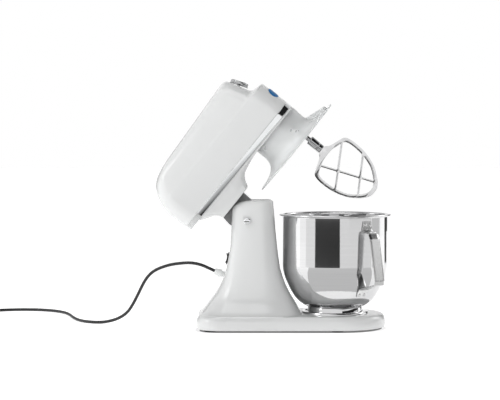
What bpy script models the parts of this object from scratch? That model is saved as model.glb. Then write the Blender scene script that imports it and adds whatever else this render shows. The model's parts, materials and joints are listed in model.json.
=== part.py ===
"""Tilt-head planetary stand mixer with a steel bowl, flat beater and clear splash guard.

+X is the bowl end (front), +Z is up, Z = 0 is the floor.  The head rests tilted
open at its stop; it closes by turning about the hinge pin.
All working numbers are millimetres and become metres in put().
"""
import bpy
import bmesh
import math
from mathutils import Matrix, Vector
from mathutils.geometry import tessellate_polygon

# ---- driving dimensions (mm) ----
X0, Y0 = 49.35, -9.056            # working frame to record origin
PIVOT_X, PIVOT_Z = -5.0, 222.0  # hinge pin
OPEN_DEG = 51.0                # head opening at rest
BOWL_X = 174.3                 # bowl and base-nose centre
BASE_R = 98.4
BASE_REAR = -108.7
BASE_BOTTOM, BASE_TOP = 4.0, 32.0
WALL = 6.0
COLUMN_TOP = 263.0
SLOT_HALF = 27.5
PIN_R = 6.0
HUB_U = 179.3                  # planetary hub axis in the head
IDLER_U = HUB_U - 60.2
MOTOR_U = IDLER_U - 36.95
ORBIT = 28.0                   # agitator axis from hub axis
RIM_R, BODY_R = 114.8, 107.6
HANDLE_DEG = -57.0
HANDLE_W = 24.0
GUARD_R = 112.0
CORD_R = 3.2
BEATER_S = 1.86

for o in list(bpy.data.objects):
    bpy.data.objects.remove(o, do_unlink=True)

COLOURS = {
    "white": ((0.86, 0.87, 0.86), 0.0, 0.25), "chrome": ((0.80, 0.81, 0.82), 1.0, 0.08),
    "steel": ((0.66, 0.67, 0.68), 1.0, 0.25), "dark": ((0.03, 0.03, 0.035), 0.0, 0.5),
    "grey": ((0.45, 0.46, 0.47), 0.0, 0.5), "rubber": ((0.02, 0.02, 0.02), 0.0, 0.8),
    "clear": ((0.85, 0.9, 0.92), 0.0, 0.1), "alu": ((0.6, 0.6, 0.6), 1.0, 0.45),
    "blue": ((0.05, 0.2, 0.6), 0.0, 0.4), "brass": ((0.7, 0.5, 0.2), 1.0, 0.35),
    "copper": ((0.6, 0.3, 0.15), 1.0, 0.4), "green": ((0.05, 0.25, 0.1), 0.0, 0.5),
}
RAD = math.radians
HEAD = (Matrix.Translation((PIVOT_X, 0.0, PIVOT_Z)) @ Matrix.Rotation(-RAD(OPEN_DEG), 4, "Y"))
WORLD = Matrix.Identity(4)


def dress(ob, col, smooth=40.0):
    m = bpy.data.materials.new(ob.name + "_mat")
    m.use_nodes = True
    b = next(n for n in m.node_tree.nodes if n.type == "BSDF_PRINCIPLED")
    c, metal, rough = COLOURS[col]
    b.inputs["Base Color"].default_value = (*c, 1.0)
    b.inputs["Metallic"].default_value = metal
    b.inputs["Roughness"].default_value = rough
    if col == "clear":
        b.inputs["Alpha"].default_value = 0.35
    m.diffuse_color = (*c, 1.0)
    ob.data.materials.append(m)


def put(name, verts, faces, col, origin=(0.0, 0.0, 0.0), mat=WORLD, smooth=38.0, hide=False):
    """verts in mm in the frame of mat; origin is the object origin in that frame."""
    org = mat @ Vector(origin)
    pts = []
    for v in verts:
        p = mat @ Vector(v)
        pts.append(((p.x - org.x) / 1000.0, (p.y - org.y) / 1000.0, (p.z - org.z) / 1000.0))
    me = bpy.data.meshes.new(name)
    me.from_pydata(pts, [], faces)
    bm = bmesh.new()
    bm.from_mesh(me)
    bmesh.ops.recalc_face_normals(bm, faces=bm.faces)
    bm.to_mesh(me)
    bm.free()
    me.validate()
    ob = bpy.data.objects.new(name, me)
    ob.location = ((org.x - X0) / 1000.0, (org.y - Y0) / 1000.0, org.z / 1000.0)
    bpy.context.scene.collection.objects.link(ob)
    if hide:
        ob.hide_render = True
        ob.display_type = "WIRE"
        return ob
    me.shade_smooth()
    me.set_sharp_from_angle(angle=RAD(smooth))
    dress(ob, col)
    return ob


def cut(target, cutter):
    mod = target.modifiers.new("cut_" + cutter.name, "BOOLEAN")
    mod.operation = "DIFFERENCE"
    mod.solver = "EXACT"
    mod.object = cutter


def loft(loops, closed=False, cap0=True, cap1=True):
    """Strips between equal loops; closed joins the last to the first."""
    n = len(loops[0])
    verts = [p for lp in loops for p in lp]
    faces = []
    pairs = [(i, i + 1) for i in range(len(loops) - 1)]
    if closed:
        pairs.append((len(loops) - 1, 0))
    for a, b in pairs:
        for k in range(n):
            k2 = (k + 1) % n
            faces.append((a * n + k, a * n + k2, b * n + k2, b * n + k))
    if not closed:
        for flag, i in ((cap0, 0), (cap1, len(loops) - 1)):
            if flag:
                lp = loops[i]
                c = tuple(sum(p[j] for p in lp) / n for j in range(3))
                verts.append(c)
                ci = len(verts) - 1
                for k in range(n):
                    faces.append((i * n + k, i * n + (k + 1) % n, ci))
    return verts, faces


def turned(profile, seg, centre=(0.0, 0.0)):
    """Profile of (r, z); r = 0 ends become poles, else the profile is a closed ring."""
    verts, rings = [], []
    for r, z in profile:
        if r <= 1e-6:
            verts.append((centre[0], centre[1], z))
            rings.append([len(verts) - 1])
        else:
            s = len(verts)
            for k in range(seg):
                a = 2 * math.pi * k / seg
                verts.append((centre[0] + r * math.cos(a), centre[1] + r * math.sin(a), z))
            rings.append(list(range(s, s + seg)))
    faces = []
    pairs = [(rings[i], rings[i + 1]) for i in range(len(rings) - 1)]
    if profile[0][0] > 1e-6:
        pairs.append((rings[-1], rings[0]))
    for a, b in pairs:
        for k in range(seg):
            k2 = (k + 1) % seg
            if len(a) == 1 and len(b) == 1:
                continue
            if len(a) == 1:
                faces.append((a[0], b[k2], b[k]))
            elif len(b) == 1:
                faces.append((a[k], a[k2], b[0]))
            else:
                faces.append((a[k], a[k2], b[k2], b[k]))
    return verts, faces


def plate(loops, z0, z1):
    """Flat plate of an outer loop and holes, in x, y from z0 to z1."""
    flat = [p for lp in loops for p in lp]
    tris = tessellate_polygon([[Vector((p[0], p[1], 0.0)) for p in lp] for lp in loops])
    n = len(flat)
    verts = [(p[0], p[1], z0) for p in flat] + [(p[0], p[1], z1) for p in flat]
    faces = []
    for a, b, c in tris:
        faces.append((a, b, c))
        faces.append((a + n, b + n, c + n))
    s = 0
    for lp in loops:
        m = len(lp)
        for k in range(m):
            k2 = (k + 1) % m
            faces.append((s + k, s + k2, s + k2 + n, s + k + n))
        s += m
    return verts, faces


def circle(r, seg, cx=0.0, cy=0.0, phase=0.0):
    return [(cx + r * math.cos(phase + 2 * math.pi * k / seg), cy + r * math.sin(phase + 2 * math.pi * k / seg))
            for k in range(seg)]


def rounded(x0, x1, hy, rf, rb, k=5):
    """Rounded rectangle, front corners rf and rear corners rb, from the front left round."""
    pts = []
    rf = min(rf, hy - 0.5)
    rb = min(rb, hy - 0.5)
    corners = ((x1 - rf, hy - rf, rf, 0), (x0 + rb, hy - rb, rb, 90), (x0 + rb, -hy + rb, rb, 180), (x1 - rf, -hy + rf, rf, 270))
    for cx, cy, r, a0 in corners:
        for i in range(k + 1):
            a = RAD(a0 + 90.0 * i / k)
            pts.append((cx + r * math.cos(a), cy + r * math.sin(a)))
    return pts


def ray(poly, c, ang):
    """Where the ray from c at ang leaves a convex polygon."""
    dx, dy = math.cos(ang), math.sin(ang)
    best = None
    m = len(poly)
    for i in range(m):
        ax, ay = poly[i][0] - c[0], poly[i][1] - c[1]
        bx, by = poly[(i + 1) % m][0] - c[0], poly[(i + 1) % m][1] - c[1]
        ex, ey = bx - ax, by - ay
        den = dx * ey - dy * ex
        if abs(den) < 1e-12:
            continue
        t = (ax * ey - ay * ex) / den
        s = (ax * dy - ay * dx) / den
        if t > 0 and -1e-9 <= s <= 1 + 1e-9 and (best is None or t > best):
            best = t
    return (c[0] + best * dx, c[1] + best * dy)


def gear(teeth, module, bore=0.0, add=0.85, ded=1.2, slack=0.16, turn=0.0, internal=False):
    """Straight-flanked spur gear outline; slack thins each tooth in mm."""
    rp = teeth * module / 2.0
    pa = RAD(20.0)
    rb = rp * math.cos(pa)
    inv0 = math.tan(pa) - pa
    if internal:
        r_tip, r_root = rp + ded * module, rp - add * module   # the spaces, as seen from inside
        half = math.pi / 2 / teeth + slack / rp
    else:
        r_tip, r_root = rp + add * module, rp - ded * module
        half = math.pi / 2 / teeth - slack / rp
    def width(r):
        rr = max(r, rb)
        al = math.acos(min(1.0, rb / rr))
        return half + inv0 - (math.tan(al) - al)
    wt = max(width(r_tip), 0.06 * math.pi / teeth)
    wr = width(r_root)
    wr = min(wr, 0.92 * math.pi / teeth)
    pts = []
    for k in range(teeth):
        c = turn + 2 * math.pi * k / teeth
        for r, a in ((r_root, -wr), (r_tip, -wt), (r_tip, wt), (r_root, wr)):
            pts.append((r * math.cos(c + a), r * math.sin(c + a)))
    return pts


def shifted(pts, cx, cy=0.0):
    return [(x + cx, y + cy) for x, y in pts]


def sweep(path, normals, width, thick):
    """Rectangular strip along a path of (r, z) in a plane; returns points (r, w, z) loops."""
    loops = []
    for (r, z), (nr, nz) in zip(path, normals):
        h, t = width / 2.0, thick / 2.0
        loops.append([(r + nr * t, -h, z + nz * t), (r + nr * t, h, z + nz * t),
                      (r - nr * t, h, z - nz * t), (r - nr * t, -h, z - nz * t)])
    return loops


def path_normals(path):
    out = []
    for i in range(len(path)):
        a = path[max(0, i - 1)]
        b = path[min(len(path) - 1, i + 1)]
        dx, dz = b[0] - a[0], b[1] - a[1]
        d = math.hypot(dx, dz)
        n = (-dz / d, dx / d)
        if 0 < i < len(path) - 1:
            px, pz = path[i][0] - a[0], path[i][1] - a[1]
            pd = math.hypot(px, pz)
            m = (-pz / pd, px / pd)
            k = 1.0 / max(0.6, n[0] * m[0] + n[1] * m[1])
            n = (n[0] * k, n[1] * k)
        out.append(n)
    return out


# ================= base and column =================
CENTRE = (5.0, 0.0)


def base_outline(inset):
    r = BASE_R - inset
    pts = [(BOWL_X + 4.6 + r * math.cos(RAD(a)), r * math.sin(RAD(a))) for a in [-90 + 180 * i / 18 for i in range(19)]]
    pts += [(90.0, r), (20.0, r)]
    cr = 46.0 - inset
    cx, cy = BASE_REAR + inset + cr, r - cr
    pts += [(cx + cr * math.cos(RAD(a)), cy + cr * math.sin(RAD(a))) for a in (90, 108, 126, 144, 162, 180)]
    pts += [(BASE_REAR + inset, 0.0)]
    pts += [(cx + cr * math.cos(RAD(a)), -cy + cr * math.sin(RAD(a))) for a in (180, 198, 216, 234, 252, 270)]
    pts += [(20.0, -r), (90.0, -r)]
    return pts


ANGLES = [math.atan2(y - CENTRE[1], x - CENTRE[0]) for x, y in base_outline(0.0)]


def at_angles(poly, z, c=CENTRE, angles=None):
    return [(*ray(poly, c, a), z) for a in (angles or ANGLES)]


# Z, rear X, front X, half depth, corner radius
COLUMN = [
    (32.0, -101.5, 104.8, 86.0, 60.0), (36.0, -98.0, 103.0, 83.0, 58.0), (46.0, -91.0, 98.0, 78.5, 54.0),
    (58.0, -82.0, 91.0, 73.5, 50.0), (78.0, -67.5, 79.0, 68.5, 45.0), (90.0, -60.5, 73.0, 66.5, 42.0),
    (107.0, -53.0, 66.8, 64.0, 38.0), (125.0, -48.0, 61.5, 62.3, 35.0), (148.0, -43.3, 58.0, 60.5, 32.0),
    (174.0, -39.3, 54.5, 59.0, 30.0), (200.0, -38.2, 52.3, 58.0, 28.0), (222.0, -37.2, 50.5, 57.3, 28.0),
    (244.0, -36.4, 48.6, 56.6, 28.0), (250.5, -34.2, 48.0, 56.2, 28.0), (255.0, -29.3, 47.6, 55.8, 27.0),
    (258.5, -23.4, 47.3, 55.3, 25.0), (261.3, -15.9, 46.9, 54.2, 22.0), (262.6, -10.0, 45.9, 52.8, 19.0),
    (263.0, -5.5, 44.6, 51.0, 17.0),
]

outer = [at_angles(base_outline(3.0), BASE_BOTTOM), at_angles(base_outline(0.8), BASE_BOTTOM + 2.0),
         at_angles(base_outline(0.0), 14.0), at_angles(base_outline(0.8), 24.0),
         at_angles(base_outline(2.6), 29.0), at_angles(base_outline(6.0), 31.4), at_angles(base_outline(9.0), BASE_TOP)]
for z, xa, xb, hy, cr in COLUMN:
    outer.append(at_angles(rounded(xa, xb, hy, cr, cr, 7), z))
inner = [at_angles(base_outline(3.0 + WALL), BASE_BOTTOM), at_angles(base_outline(3.0 + WALL), 26.0)]
for z, xa, xb, hy, cr in COLUMN:
    if z <= 174.0 and z not in (36.0, 58.0):
        zz = 26.0 if z == 32.0 else z
        inner.append(at_angles(rounded(xa + WALL + 3.0, xb - WALL - 3.0, hy - WALL - 3.0, cr, cr, 7), zz))
inner.append(at_angles(rounded(-29.0, 43.0, 48.0, 20, 20, 7), 190.0))
NB = len(ANGLES)
ov, of_ = loft(outer, cap0=False, cap1=True)
iv, if_ = loft(inner, cap0=False, cap1=True)
off = len(ov)
verts = ov + iv
faces = of_ + [tuple(i + off for i in f) for f in if_]
for k in range(NB):
    k2 = (k + 1) % NB
    faces.append((k, k2, off + k2, off + k))
base = put("base_casting", verts, faces, "white")

v, f = loft([[(-90, -SLOT_HALF, z), (41.5, -SLOT_HALF, z), (41.5, SLOT_HALF, z), (-90, SLOT_HALF, z)] for z in (200.0, 290.0)])
cut(base, put("cutter_slot", v, f, "grey", hide=True))
ALONG_Y = Matrix.Translation((PIVOT_X, 0, PIVOT_Z)) @ Matrix.Rotation(-RAD(90), 4, "X")   # local z -> +y
v, f = turned([(0, -80), (PIN_R + 0.4, -80), (PIN_R + 0.4, 80), (0, 80)], 24)
cut(base, put("cutter_pin", v, f, "grey", mat=ALONG_Y, hide=True))
v, f = loft([[(x, -8.2, 130.8), (x, 8.2, 130.8), (x, 8.2, 155.2), (x, -8.2, 155.2)] for x in (-60.0, -20.0)])
cut(base, put("cutter_switch", v, f, "grey", hide=True))
GLAND = (Matrix.Translation((-57.0, 0.0, 111.2)) @ Matrix.Rotation(-RAD(90 - 20), 4, "Y"))      # local z -> rear and 20 degrees up
v, f = turned([(0, -30), (6.4, -30), (6.4, 14), (0, 14)], 20)
cut(base, put("cutter_gland", v, f, "grey", mat=GLAND, hide=True))

v, f = loft([[(x, y, z) for x, y, _ in at_angles(base_outline(3.0 + WALL + 0.5), 0)] for z in (4.6, 6.8)])
put("bottom_plate", v, f, "grey")
for tag, x, y in (("rear_left", -80.0, 66.0), ("rear_right", -80.0, -66.0), ("front_left", 176.0, 72.0), ("front_right", 176.0, -72.0)):
    v, f = turned([(0, 0), (11.0, 0), (12.5, 1.2), (13.0, 4.2), (0, 4.2)], 20, (x, y))
    put("foot_" + tag, v, f, "rubber")

v, f = turned([(0, -56.5), (PIN_R, -56.5), (PIN_R, 56.5), (0, 56.5)], 24)
put("hinge_pin", v, f, "chrome", mat=ALONG_Y)
for tag, s in (("left", 1), ("right", -1)):
    def lozenge(g):
        return [(-5.6 + 1.6 * (1 if math.cos(a) > 0 else -1) + (6.6 + g) * math.cos(a), (6.6 + g) * math.sin(a))
                for a in [RAD(15 + 30 * i) for i in range(12)]]
    lp = [[(x, s * y, 222.0 + z) for x, z in lozenge(g)] for y, g in ((57.8, 0), (61.6, 0), (63.0, -1.5))]
    v, f = loft(lp)
    put("pin_cap_" + tag, v, f, "chrome")

# rocker switch in the rear of the column
SW_X, SW_Z = -44.6, 143.0
v, f = plate([[(-12.5, -10.5), (12.5, -10.5), (12.5, 10.5), (-12.5, 10.5)], [(-10.5, -6.6), (-10.5, 6.6), (10.5, 6.6), (10.5, -6.6)]], 0.0, 2.2)
SWM = Matrix.Translation((SW_X - 0.3, 0, SW_Z)) @ Matrix.Rotation(-RAD(90 - 11.5), 4, "Y")   # local z -> rear, local x -> up
put("switch_bezel", v, f, "dark", mat=SWM)
lp = []
for y in (-6.1, 6.1):
    lp.append([(x, y, z) for x, z in ((-9.8, 2.0), (-9.8, 4.4), (-5.0, 3.3), (0.0, 2.9), (5.0, 3.5), (9.8, 5.8), (9.8, -1.0), (3.0, -5.5), (-3.0, -5.5), (-9.8, -1.0))])
v, f = loft(lp)
put("switch_rocker", v, f, "rubber", origin=(0, 0, 0), mat=SWM)

v, f = turned([(3.6, -23.5), (5.9, -23.5), (5.9, 2.9), (8.2, 2.9), (8.2, 11.0), (6.8, 14.0), (5.0, 16.5), (3.6, 16.5)], 24)
put("cord_gland", v, f, "grey", mat=GLAND)
# nut on the inside of the column wall
v, f = plate([circle(10.5, 6), list(reversed(circle(6.2, 24)))], -21.0, -17.4)
put("gland_nut", v, f, "grey", mat=GLAND)

v, f = loft([[(10, -28, z), (84, -28, z), (84, 28, z), (10, 28, z)] for z in (9.0, 10.6)])
put("control_board", v, f, "green")

# bowl seat with three hooked lips
SEG = 60


def ringloop(fn, z, seg=SEG):
    return [(BOWL_X + fn(k) * math.cos(2 * math.pi * k / seg), fn(k) * math.sin(2 * math.pi * k / seg), z) for k in range(seg)]


def lip(k):
    return 61.5 if ((k - 3) % 20) < 8 else 57.4


v, f = loft([ringloop(lambda k: 68.0, 32.3), ringloop(lambda k: 68.0, 35.4), ringloop(lambda k: 67.0, 36.3), ringloop(lip, 36.3), ringloop(lip, 34.8),
             ringloop(lambda k: 62.2, 34.8), ringloop(lambda k: 62.2, 32.3)], closed=True)
put("bowl_seat", v, f, "steel", origin=(BOWL_X, 0, 32.3), smooth=25)

# ================= bowl =================
def lugs(k):
    return 61.0 if ((k - 13) % 20) < 6 else 56.5


v, f = loft([ringloop(lugs, 32.6), ringloop(lugs, 34.3), ringloop(lambda k: 56.4, 34.3), ringloop(lambda k: 55.4, 44.1),
             ringloop(lambda k: 52.6, 44.1), ringloop(lambda k: 53.6, 32.6)], closed=True)
put("bowl_foot", v, f, "steel", origin=(BOWL_X, 0, 34.0), smooth=25)
prof = [(0, 44.6), (50.0, 44.6), (61.5, 47.6), (76.0, 58.0), (88.0, 74.0), (96.0, 89.5), (103.6, 108.0), (106.8, 119.0), (BODY_R, 130.0),
        (BODY_R, 229.8), (109.6, 231.4), (113.4, 231.2), (RIM_R, 232.7), (RIM_R - 0.6, 234.5), (112.0, 235.2), (108.4, 234.8), (106.2, 231.6),
        (106.1, 130.2), (105.3, 119.5), (102.2, 108.8), (94.7, 90.6), (86.9, 75.2), (75.2, 59.5), (61.2, 49.3), (49.8, 46.2), (0, 46.2)]
v, f = turned(prof, 44, (BOWL_X, 0))
put("bowl", v, f, "steel", origin=(BOWL_X, 0, 44.6), smooth=32)

HM = Matrix.Translation((BOWL_X, 0, 0)) @ Matrix.Rotation(RAD(HANDLE_DEG), 4, "Z")
path = [(109.25, 223.5), (109.25, 208.5), (111.6, 204.3), (116.5, 202.3), (124.5, 200.8), (129.8, 197.8), (132.8, 191.5), (141.5, 148.0), (149.6, 108.0),
        (149.2, 102.0), (144.5, 98.0), (104.0, 88.6), (98.4, 86.0), (94.4, 80.9), (87.6, 69.6)]
v, f = loft(sweep(path, path_normals(path), HANDLE_W, 2.2))
put("bowl_handle", v, f, "steel", origin=(0, 0, 150), mat=HM, smooth=30)
for i, y in enumerate((-6.0, 6.0)):
    M = HM @ Matrix.Translation((110.65, y, 216.0)) @ Matrix.Rotation(RAD(90), 4, "Y")
    v, f = turned([(0, 0), (3.4, 0), (3.0, 1.0), (1.6, 1.7), (0, 1.9)], 12)
    put("handle_rivet_top_%d" % (i + 1), v, f, "steel", mat=M)
    M = HM @ Matrix.Translation((92.3, y, 75.2)) @ Matrix.Rotation(RAD(90 + 31), 4, "Y")
    v, f = turned([(0, 0), (3.4, 0), (3.0, 1.0), (1.6, 1.7), (0, 1.9)], 12)
    put("handle_rivet_low_%d" % (i + 1), v, f, "steel", mat=M)

# ================= head (u forward, y across, n up; origin on the pin) =================
LEVELS = [  # rear u, rear n, front u, front n, half width, front radius, rear radius
    (-88.5, 89.6, 236.8, 89.6, 66.0, 38, 34), (-90.0, 119.0, 236.0, 119.0, 66.0, 38, 34),
    (-86.8, 147.0, 235.4, 146.4, 65.4, 38, 34), (-85.4, 151.0, 234.8, 150.8, 65.0, 38, 34),
    (-84.2, 154.0, 232.2, 153.0, 64.6, 37, 34), (-82.0, 160.0, 210.6, 159.6, 62.6, 31, 33), (-80.0, 166.0, 207.2, 165.6, 61.4, 30, 33),
    (-68.0, 183.5, 201.2, 184.0, 55.6, 28, 30), (-54.0, 194.5, 196.2, 202.0, 48.0, 26, 27), (-35.5, 201.0, 193.2, 210.4, 38.5, 24, 24),
    (-15.0, 204.4, 188.0, 215.0, 27.5, 20, 20), (12.0, 205.6, 177.6, 216.4, 15.0, 12, 12),
]


def level(lv, g):
    ua, na, ub, nb, hw, rf, rb = lv
    ua, ub, hw = ua + g, ub - g, hw - g
    pts = rounded(ua, ub, hw, max(4.0, rf - g), max(4.0, rb - g), 5)
    return [(x, y, na + (nb - na) * (x - ua) / (ub - ua)) for x, y in pts]


ol = [level(lv, 0.0) for lv in LEVELS]
il = []
for i, lv in enumerate(LEVELS):
    if i in (2, 3, 6):
        continue
    d = 0.0 if i == 0 else (1.2 if i < 4 else 3.0)
    ua, na, ub, nb, hw, rf, rb = lv
    il.append(level((ua, na - d, ub, nb - (2.8 if 1 < i < 6 else d), hw, rf, rb), 3.0 if i < 8 else 4.2))
ov, of_ = loft(ol, cap0=False, cap1=True)
iv, if_ = loft(il, cap0=False, cap1=True)
off, n = len(ov), len(ol[0])
faces = of_ + [tuple(i + off for i in q) for q in if_]
for k in range(n):
    faces.append((k, (k + 1) % n, off + (k + 1) % n, off + k))
shell = put("head_shell", ov + iv, faces, "white", mat=HEAD, smooth=34)
KNOB = HEAD @ Matrix.Translation((200.2, 0, 186.4)) @ Matrix.Rotation(RAD(69.5), 4, "Y")
v, f = turned([(0, -14), (4.0, -14), (4.0, 10), (0, 10)], 16)
cut(shell, put("cutter_knob", v, f, "grey", mat=KNOB, hide=True))

band_out = rounded(-89.3, 237.8, 66.8, 38.5, 34.5, 6)
band_in = rounded(-85.4, 233.8, 62.8, 35.0, 31.0, 6)


def arc_part(loop, keep, ends):
    """Points of a loop that pass keep, started so that they run on without a break, with end points at u = ends."""
    m = len(loop)
    start = next(i for i in range(m) if keep(loop[i]) and not keep(loop[i - 1]))
    run = []
    i = start
    while keep(loop[i % m]) and len(run) < m:
        run.append(loop[i % m])
        i += 1
    before, after = loop[start - 1], loop[i % m]
    def toward(a, b):
        t = (ends - a[0]) / (b[0] - a[0])
        return (ends, a[1] + t * (b[1] - a[1]))
    return [toward(run[0], before)] + run + [toward(run[-1], after)]


o_run = arc_part(band_out, lambda p: p[0] > -48, -50.0)
i_run = arc_part(band_in, lambda p: p[0] > -48, -50.0)
v, f = plate([o_run + list(reversed(i_run))], 77.6, 89.2)
put("trim_band", v, f, "chrome", mat=HEAD, smooth=25)
vo = rounded(-87.4, 237.8, 64.6, 38.5, 33.0, 6)
vi = rounded(-83.6, 233.8, 60.8, 35.0, 30.0, 6)
o_run = arc_part(vo, lambda p: p[0] < -52, -51.0)
i_run = arc_part(vi, lambda p: p[0] < -52, -51.0)
v, f = plate([o_run + list(reversed(i_run))], 77.6, 89.2)
put("rear_vent", v, f, "white", mat=HEAD, smooth=25)

HC = (12.0, 0.0)
lo0 = rounded(-60.0, 236.6, 65.4, 38, 26, 6)
LA = [math.atan2(y, x - HC[0]) for x, y in lo0]
FOOT = [(73.4, -57.0, 124.0, 63.0, 24), (70.5, -53.5, 100.0, 61.5, 22), (66.0, -46.0, 76.0, 59.5, 20), (60.0, -37.0, 65.5, 57.5, 18),
        (54.0, -31.5, 60.2, 55.5, 17), (47.0, -28.2, 56.6, 54.0, 16), (42.2, -26.8, 53.4, 53.0, 14)]
loops = [at_angles(lo0, 77.3, HC, LA), at_angles(rounded(-59.5, 236.2, 65.0, 38, 26, 6), 75.0, HC, LA), at_angles(rounded(-57.6, 234.4, 63.2, 37, 25, 6), 73.4, HC, LA)]
for z, xa, xb, hy, cr in FOOT:
    loops.append(at_angles(rounded(xa, xb, hy, cr, cr, 6), z, HC, LA))
v, f = loft(loops)
lower = put("lower_housing", v, f, "white", mat=HEAD, smooth=34)
v, f = turned([(0, 60), (52.6, 60), (52.6, 90), (0, 90)], 48, (HUB_U, 0))
cut(lower, put("cutter_hub", v, f, "grey", mat=HEAD, hide=True))

# hinge bracket, drawn in (u, n) and pushed along y
poly = [(38.4, 41.7), (-26.6, 41.7), (-29.3, 24.0), (-28.0, 14.0)]
poly += [(15.0 * math.cos(RAD(a)), 15.0 * math.sin(RAD(a))) for a in (190, 215, 240, 265, 290, 315, 340)]
poly += [(30.0, 9.5), (37.4, 18.8)]
v, f = plate([poly, list(reversed(circle(PIN_R + 0.4, 24)))], -26.5, 26.5)
v = [(p[0], -p[2], p[1]) for p in v]
put("hinge_bracket", v, f, "dark", mat=HEAD, smooth=30)

# badge: a plain round disc on the near front corner of the nose
v, f = turned([(0, 0.35), (4.2, 0.35), (8.4, 0.35), (12.3, 0.35), (12.3, 1.1), (8.4, 1.2), (4.2, 1.2), (0, 1.2)], 24)
v = [(198.0 + (38.0 + h) * math.cos(a / 38.0 - RAD(19)), -28.0 + (38.0 + h) * math.sin(a / 38.0 - RAD(19)), 122.0 + b) for a, b, h in v]
put("badge", v, f, "blue", mat=HEAD)

# speed knob and control
v, f = turned([(0, -12.0), (3.2, -12.0), (3.2, 2.2), (19.4, 2.2), (19.6, 3.6), (19.0, 4.4), (18.6, 9.6), (17.4, 10.9), (0, 11.2)], 40)
put("speed_knob", v, f, "chrome", origin=(0, 0, 0), mat=KNOB, smooth=30)
v, f = loft([[(13.7, -0.9, z), (17.9, -0.9, z), (17.9, 0.9, z), (13.7, 0.9, z)] for z in (11.5, 12.0)])
v = [(x - 5.0, y, z) for x, y, z in v]
put("knob_pointer", v, f, "dark", mat=KNOB)
v, f = turned([(3.6, -15.5), (12.0, -15.5), (12.0, -7.0), (3.6, -7.0)], 20)
put("speed_control", v, f, "grey", mat=KNOB)

# gear case
v, f = plate([circle(53.6, 48, HUB_U), list(reversed(shifted(gear(48, 1.75, internal=True, turn=math.pi / 48 * 0.0), HUB_U)))], 77.7, 90.0)
put("ring_gear", v, f, "steel", mat=HEAD, smooth=20)
v, f = plate([shifted(gear(16, 1.75), HUB_U + ORBIT), list(reversed(circle(5.3, 16, HUB_U + ORBIT)))], 79.6, 89.4)
put("planet_pinion", v, f, "steel", origin=(HUB_U + ORBIT, 0, 80), mat=HEAD, smooth=20)
v, f = turned([(0, 61.0), (48.0, 61.0), (50.6, 63.5), (50.6, 77.0), (13.0, 77.0), (8.0, 79.0), (8.0, 116.5), (0, 116.5)], 36, (HUB_U, 0))
carrier = put("planet_carrier", v, f, "alu", origin=(HUB_U, 0, 70), mat=HEAD, smooth=34)
v, f = turned([(0, 50), (5.4, 50), (5.4, 84), (0, 84)], 20, (HUB_U + ORBIT, 0))
cut(carrier, put("cutter_planet", v, f, "grey", mat=HEAD, hide=True))
v, f = plate([shifted(gear(48, 2.0, turn=math.pi / 48), HUB_U), list(reversed(circle(8.3, 24, HUB_U)))], 98.0, 106.0)
put("hub_gear", v, f, "steel", origin=(HUB_U, 0, 100), mat=HEAD, smooth=20)
v, f = plate([shifted(gear(12, 2.0, turn=0.0), IDLER_U), list(reversed(circle(4.3, 16, IDLER_U)))], 97.5, 106.5)
put("idler_pinion", v, f, "steel", origin=(IDLER_U, 0, 100), mat=HEAD, smooth=20)
v, f = plate([shifted(gear(32, 1.75, turn=math.pi / 32), IDLER_U), list(reversed(circle(4.3, 16, IDLER_U)))], 118.0, 124.0)
put("idler_gear", v, f, "steel", origin=(IDLER_U, 0, 120), mat=HEAD, smooth=20)
v, f = turned([(0, 80.0), (4.0, 80.0), (4.0, 129.0), (0, 129.0)], 16, (IDLER_U, 0))
put("idler_shaft", v, f, "steel", origin=(IDLER_U, 0, 120), mat=HEAD)
v, f = plate([shifted(gear(10, 1.75), MOTOR_U), list(reversed(circle(4.3, 16, MOTOR_U)))], 117.5, 124.5)
put("motor_pinion", v, f, "steel", origin=(MOTOR_U, 0, 120), mat=HEAD, smooth=20)
v, f = turned([(0, 106.0), (4.0, 106.0), (4.0, 140.0), (24.5, 140.0), (24.5, 174.0), (9.0, 174.0), (9.0, 184.0), (4.0, 184.0), (4.0, 189.0), (30.0, 189.0), (30.0, 192.0), (0, 192.0)], 24, (MOTOR_U, 0))
put("motor_rotor", v, f, "copper", origin=(MOTOR_U, 0, 150), mat=HEAD, smooth=30)
v, f = turned([(26.0, 136.0), (43.0, 136.0), (43.0, 180.0), (26.0, 180.0)], 32, (MOTOR_U, 0))
put("motor_stator", v, f, "grey", mat=HEAD, smooth=30)
bridge = rounded(34.0, 230.0, 47.0, 14, 12, 3)
v, f = plate([bridge, list(reversed(circle(8.4, 20, HUB_U))), list(reversed(circle(4.4, 14, IDLER_U))), list(reversed(circle(4.4, 14, MOTOR_U)))], 110.0, 113.0)
put("gear_bridge", v, f, "alu", mat=HEAD, smooth=30)
for i, (u, y) in enumerate(((60.0, 38.0), (60.0, -38.0), (222.0, 42.0), (222.0, -42.0))):
    v, f = turned([(0, 77.7), (4.5, 77.7), (4.5, 109.7), (0, 109.7)], 10, (u, y))
    put("bridge_post_%d" % (i + 1), v, f, "alu", mat=HEAD)
for i, (u, y) in enumerate(((MOTOR_U - 32.0, 22.0), (MOTOR_U - 32.0, -22.0))):
    v, f = turned([(0, 113.3), (4.0, 113.3), (4.0, 135.7), (0, 135.7)], 10, (u, y))
    put("motor_post_%d" % (i + 1), v, f, "alu", mat=HEAD)

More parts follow.
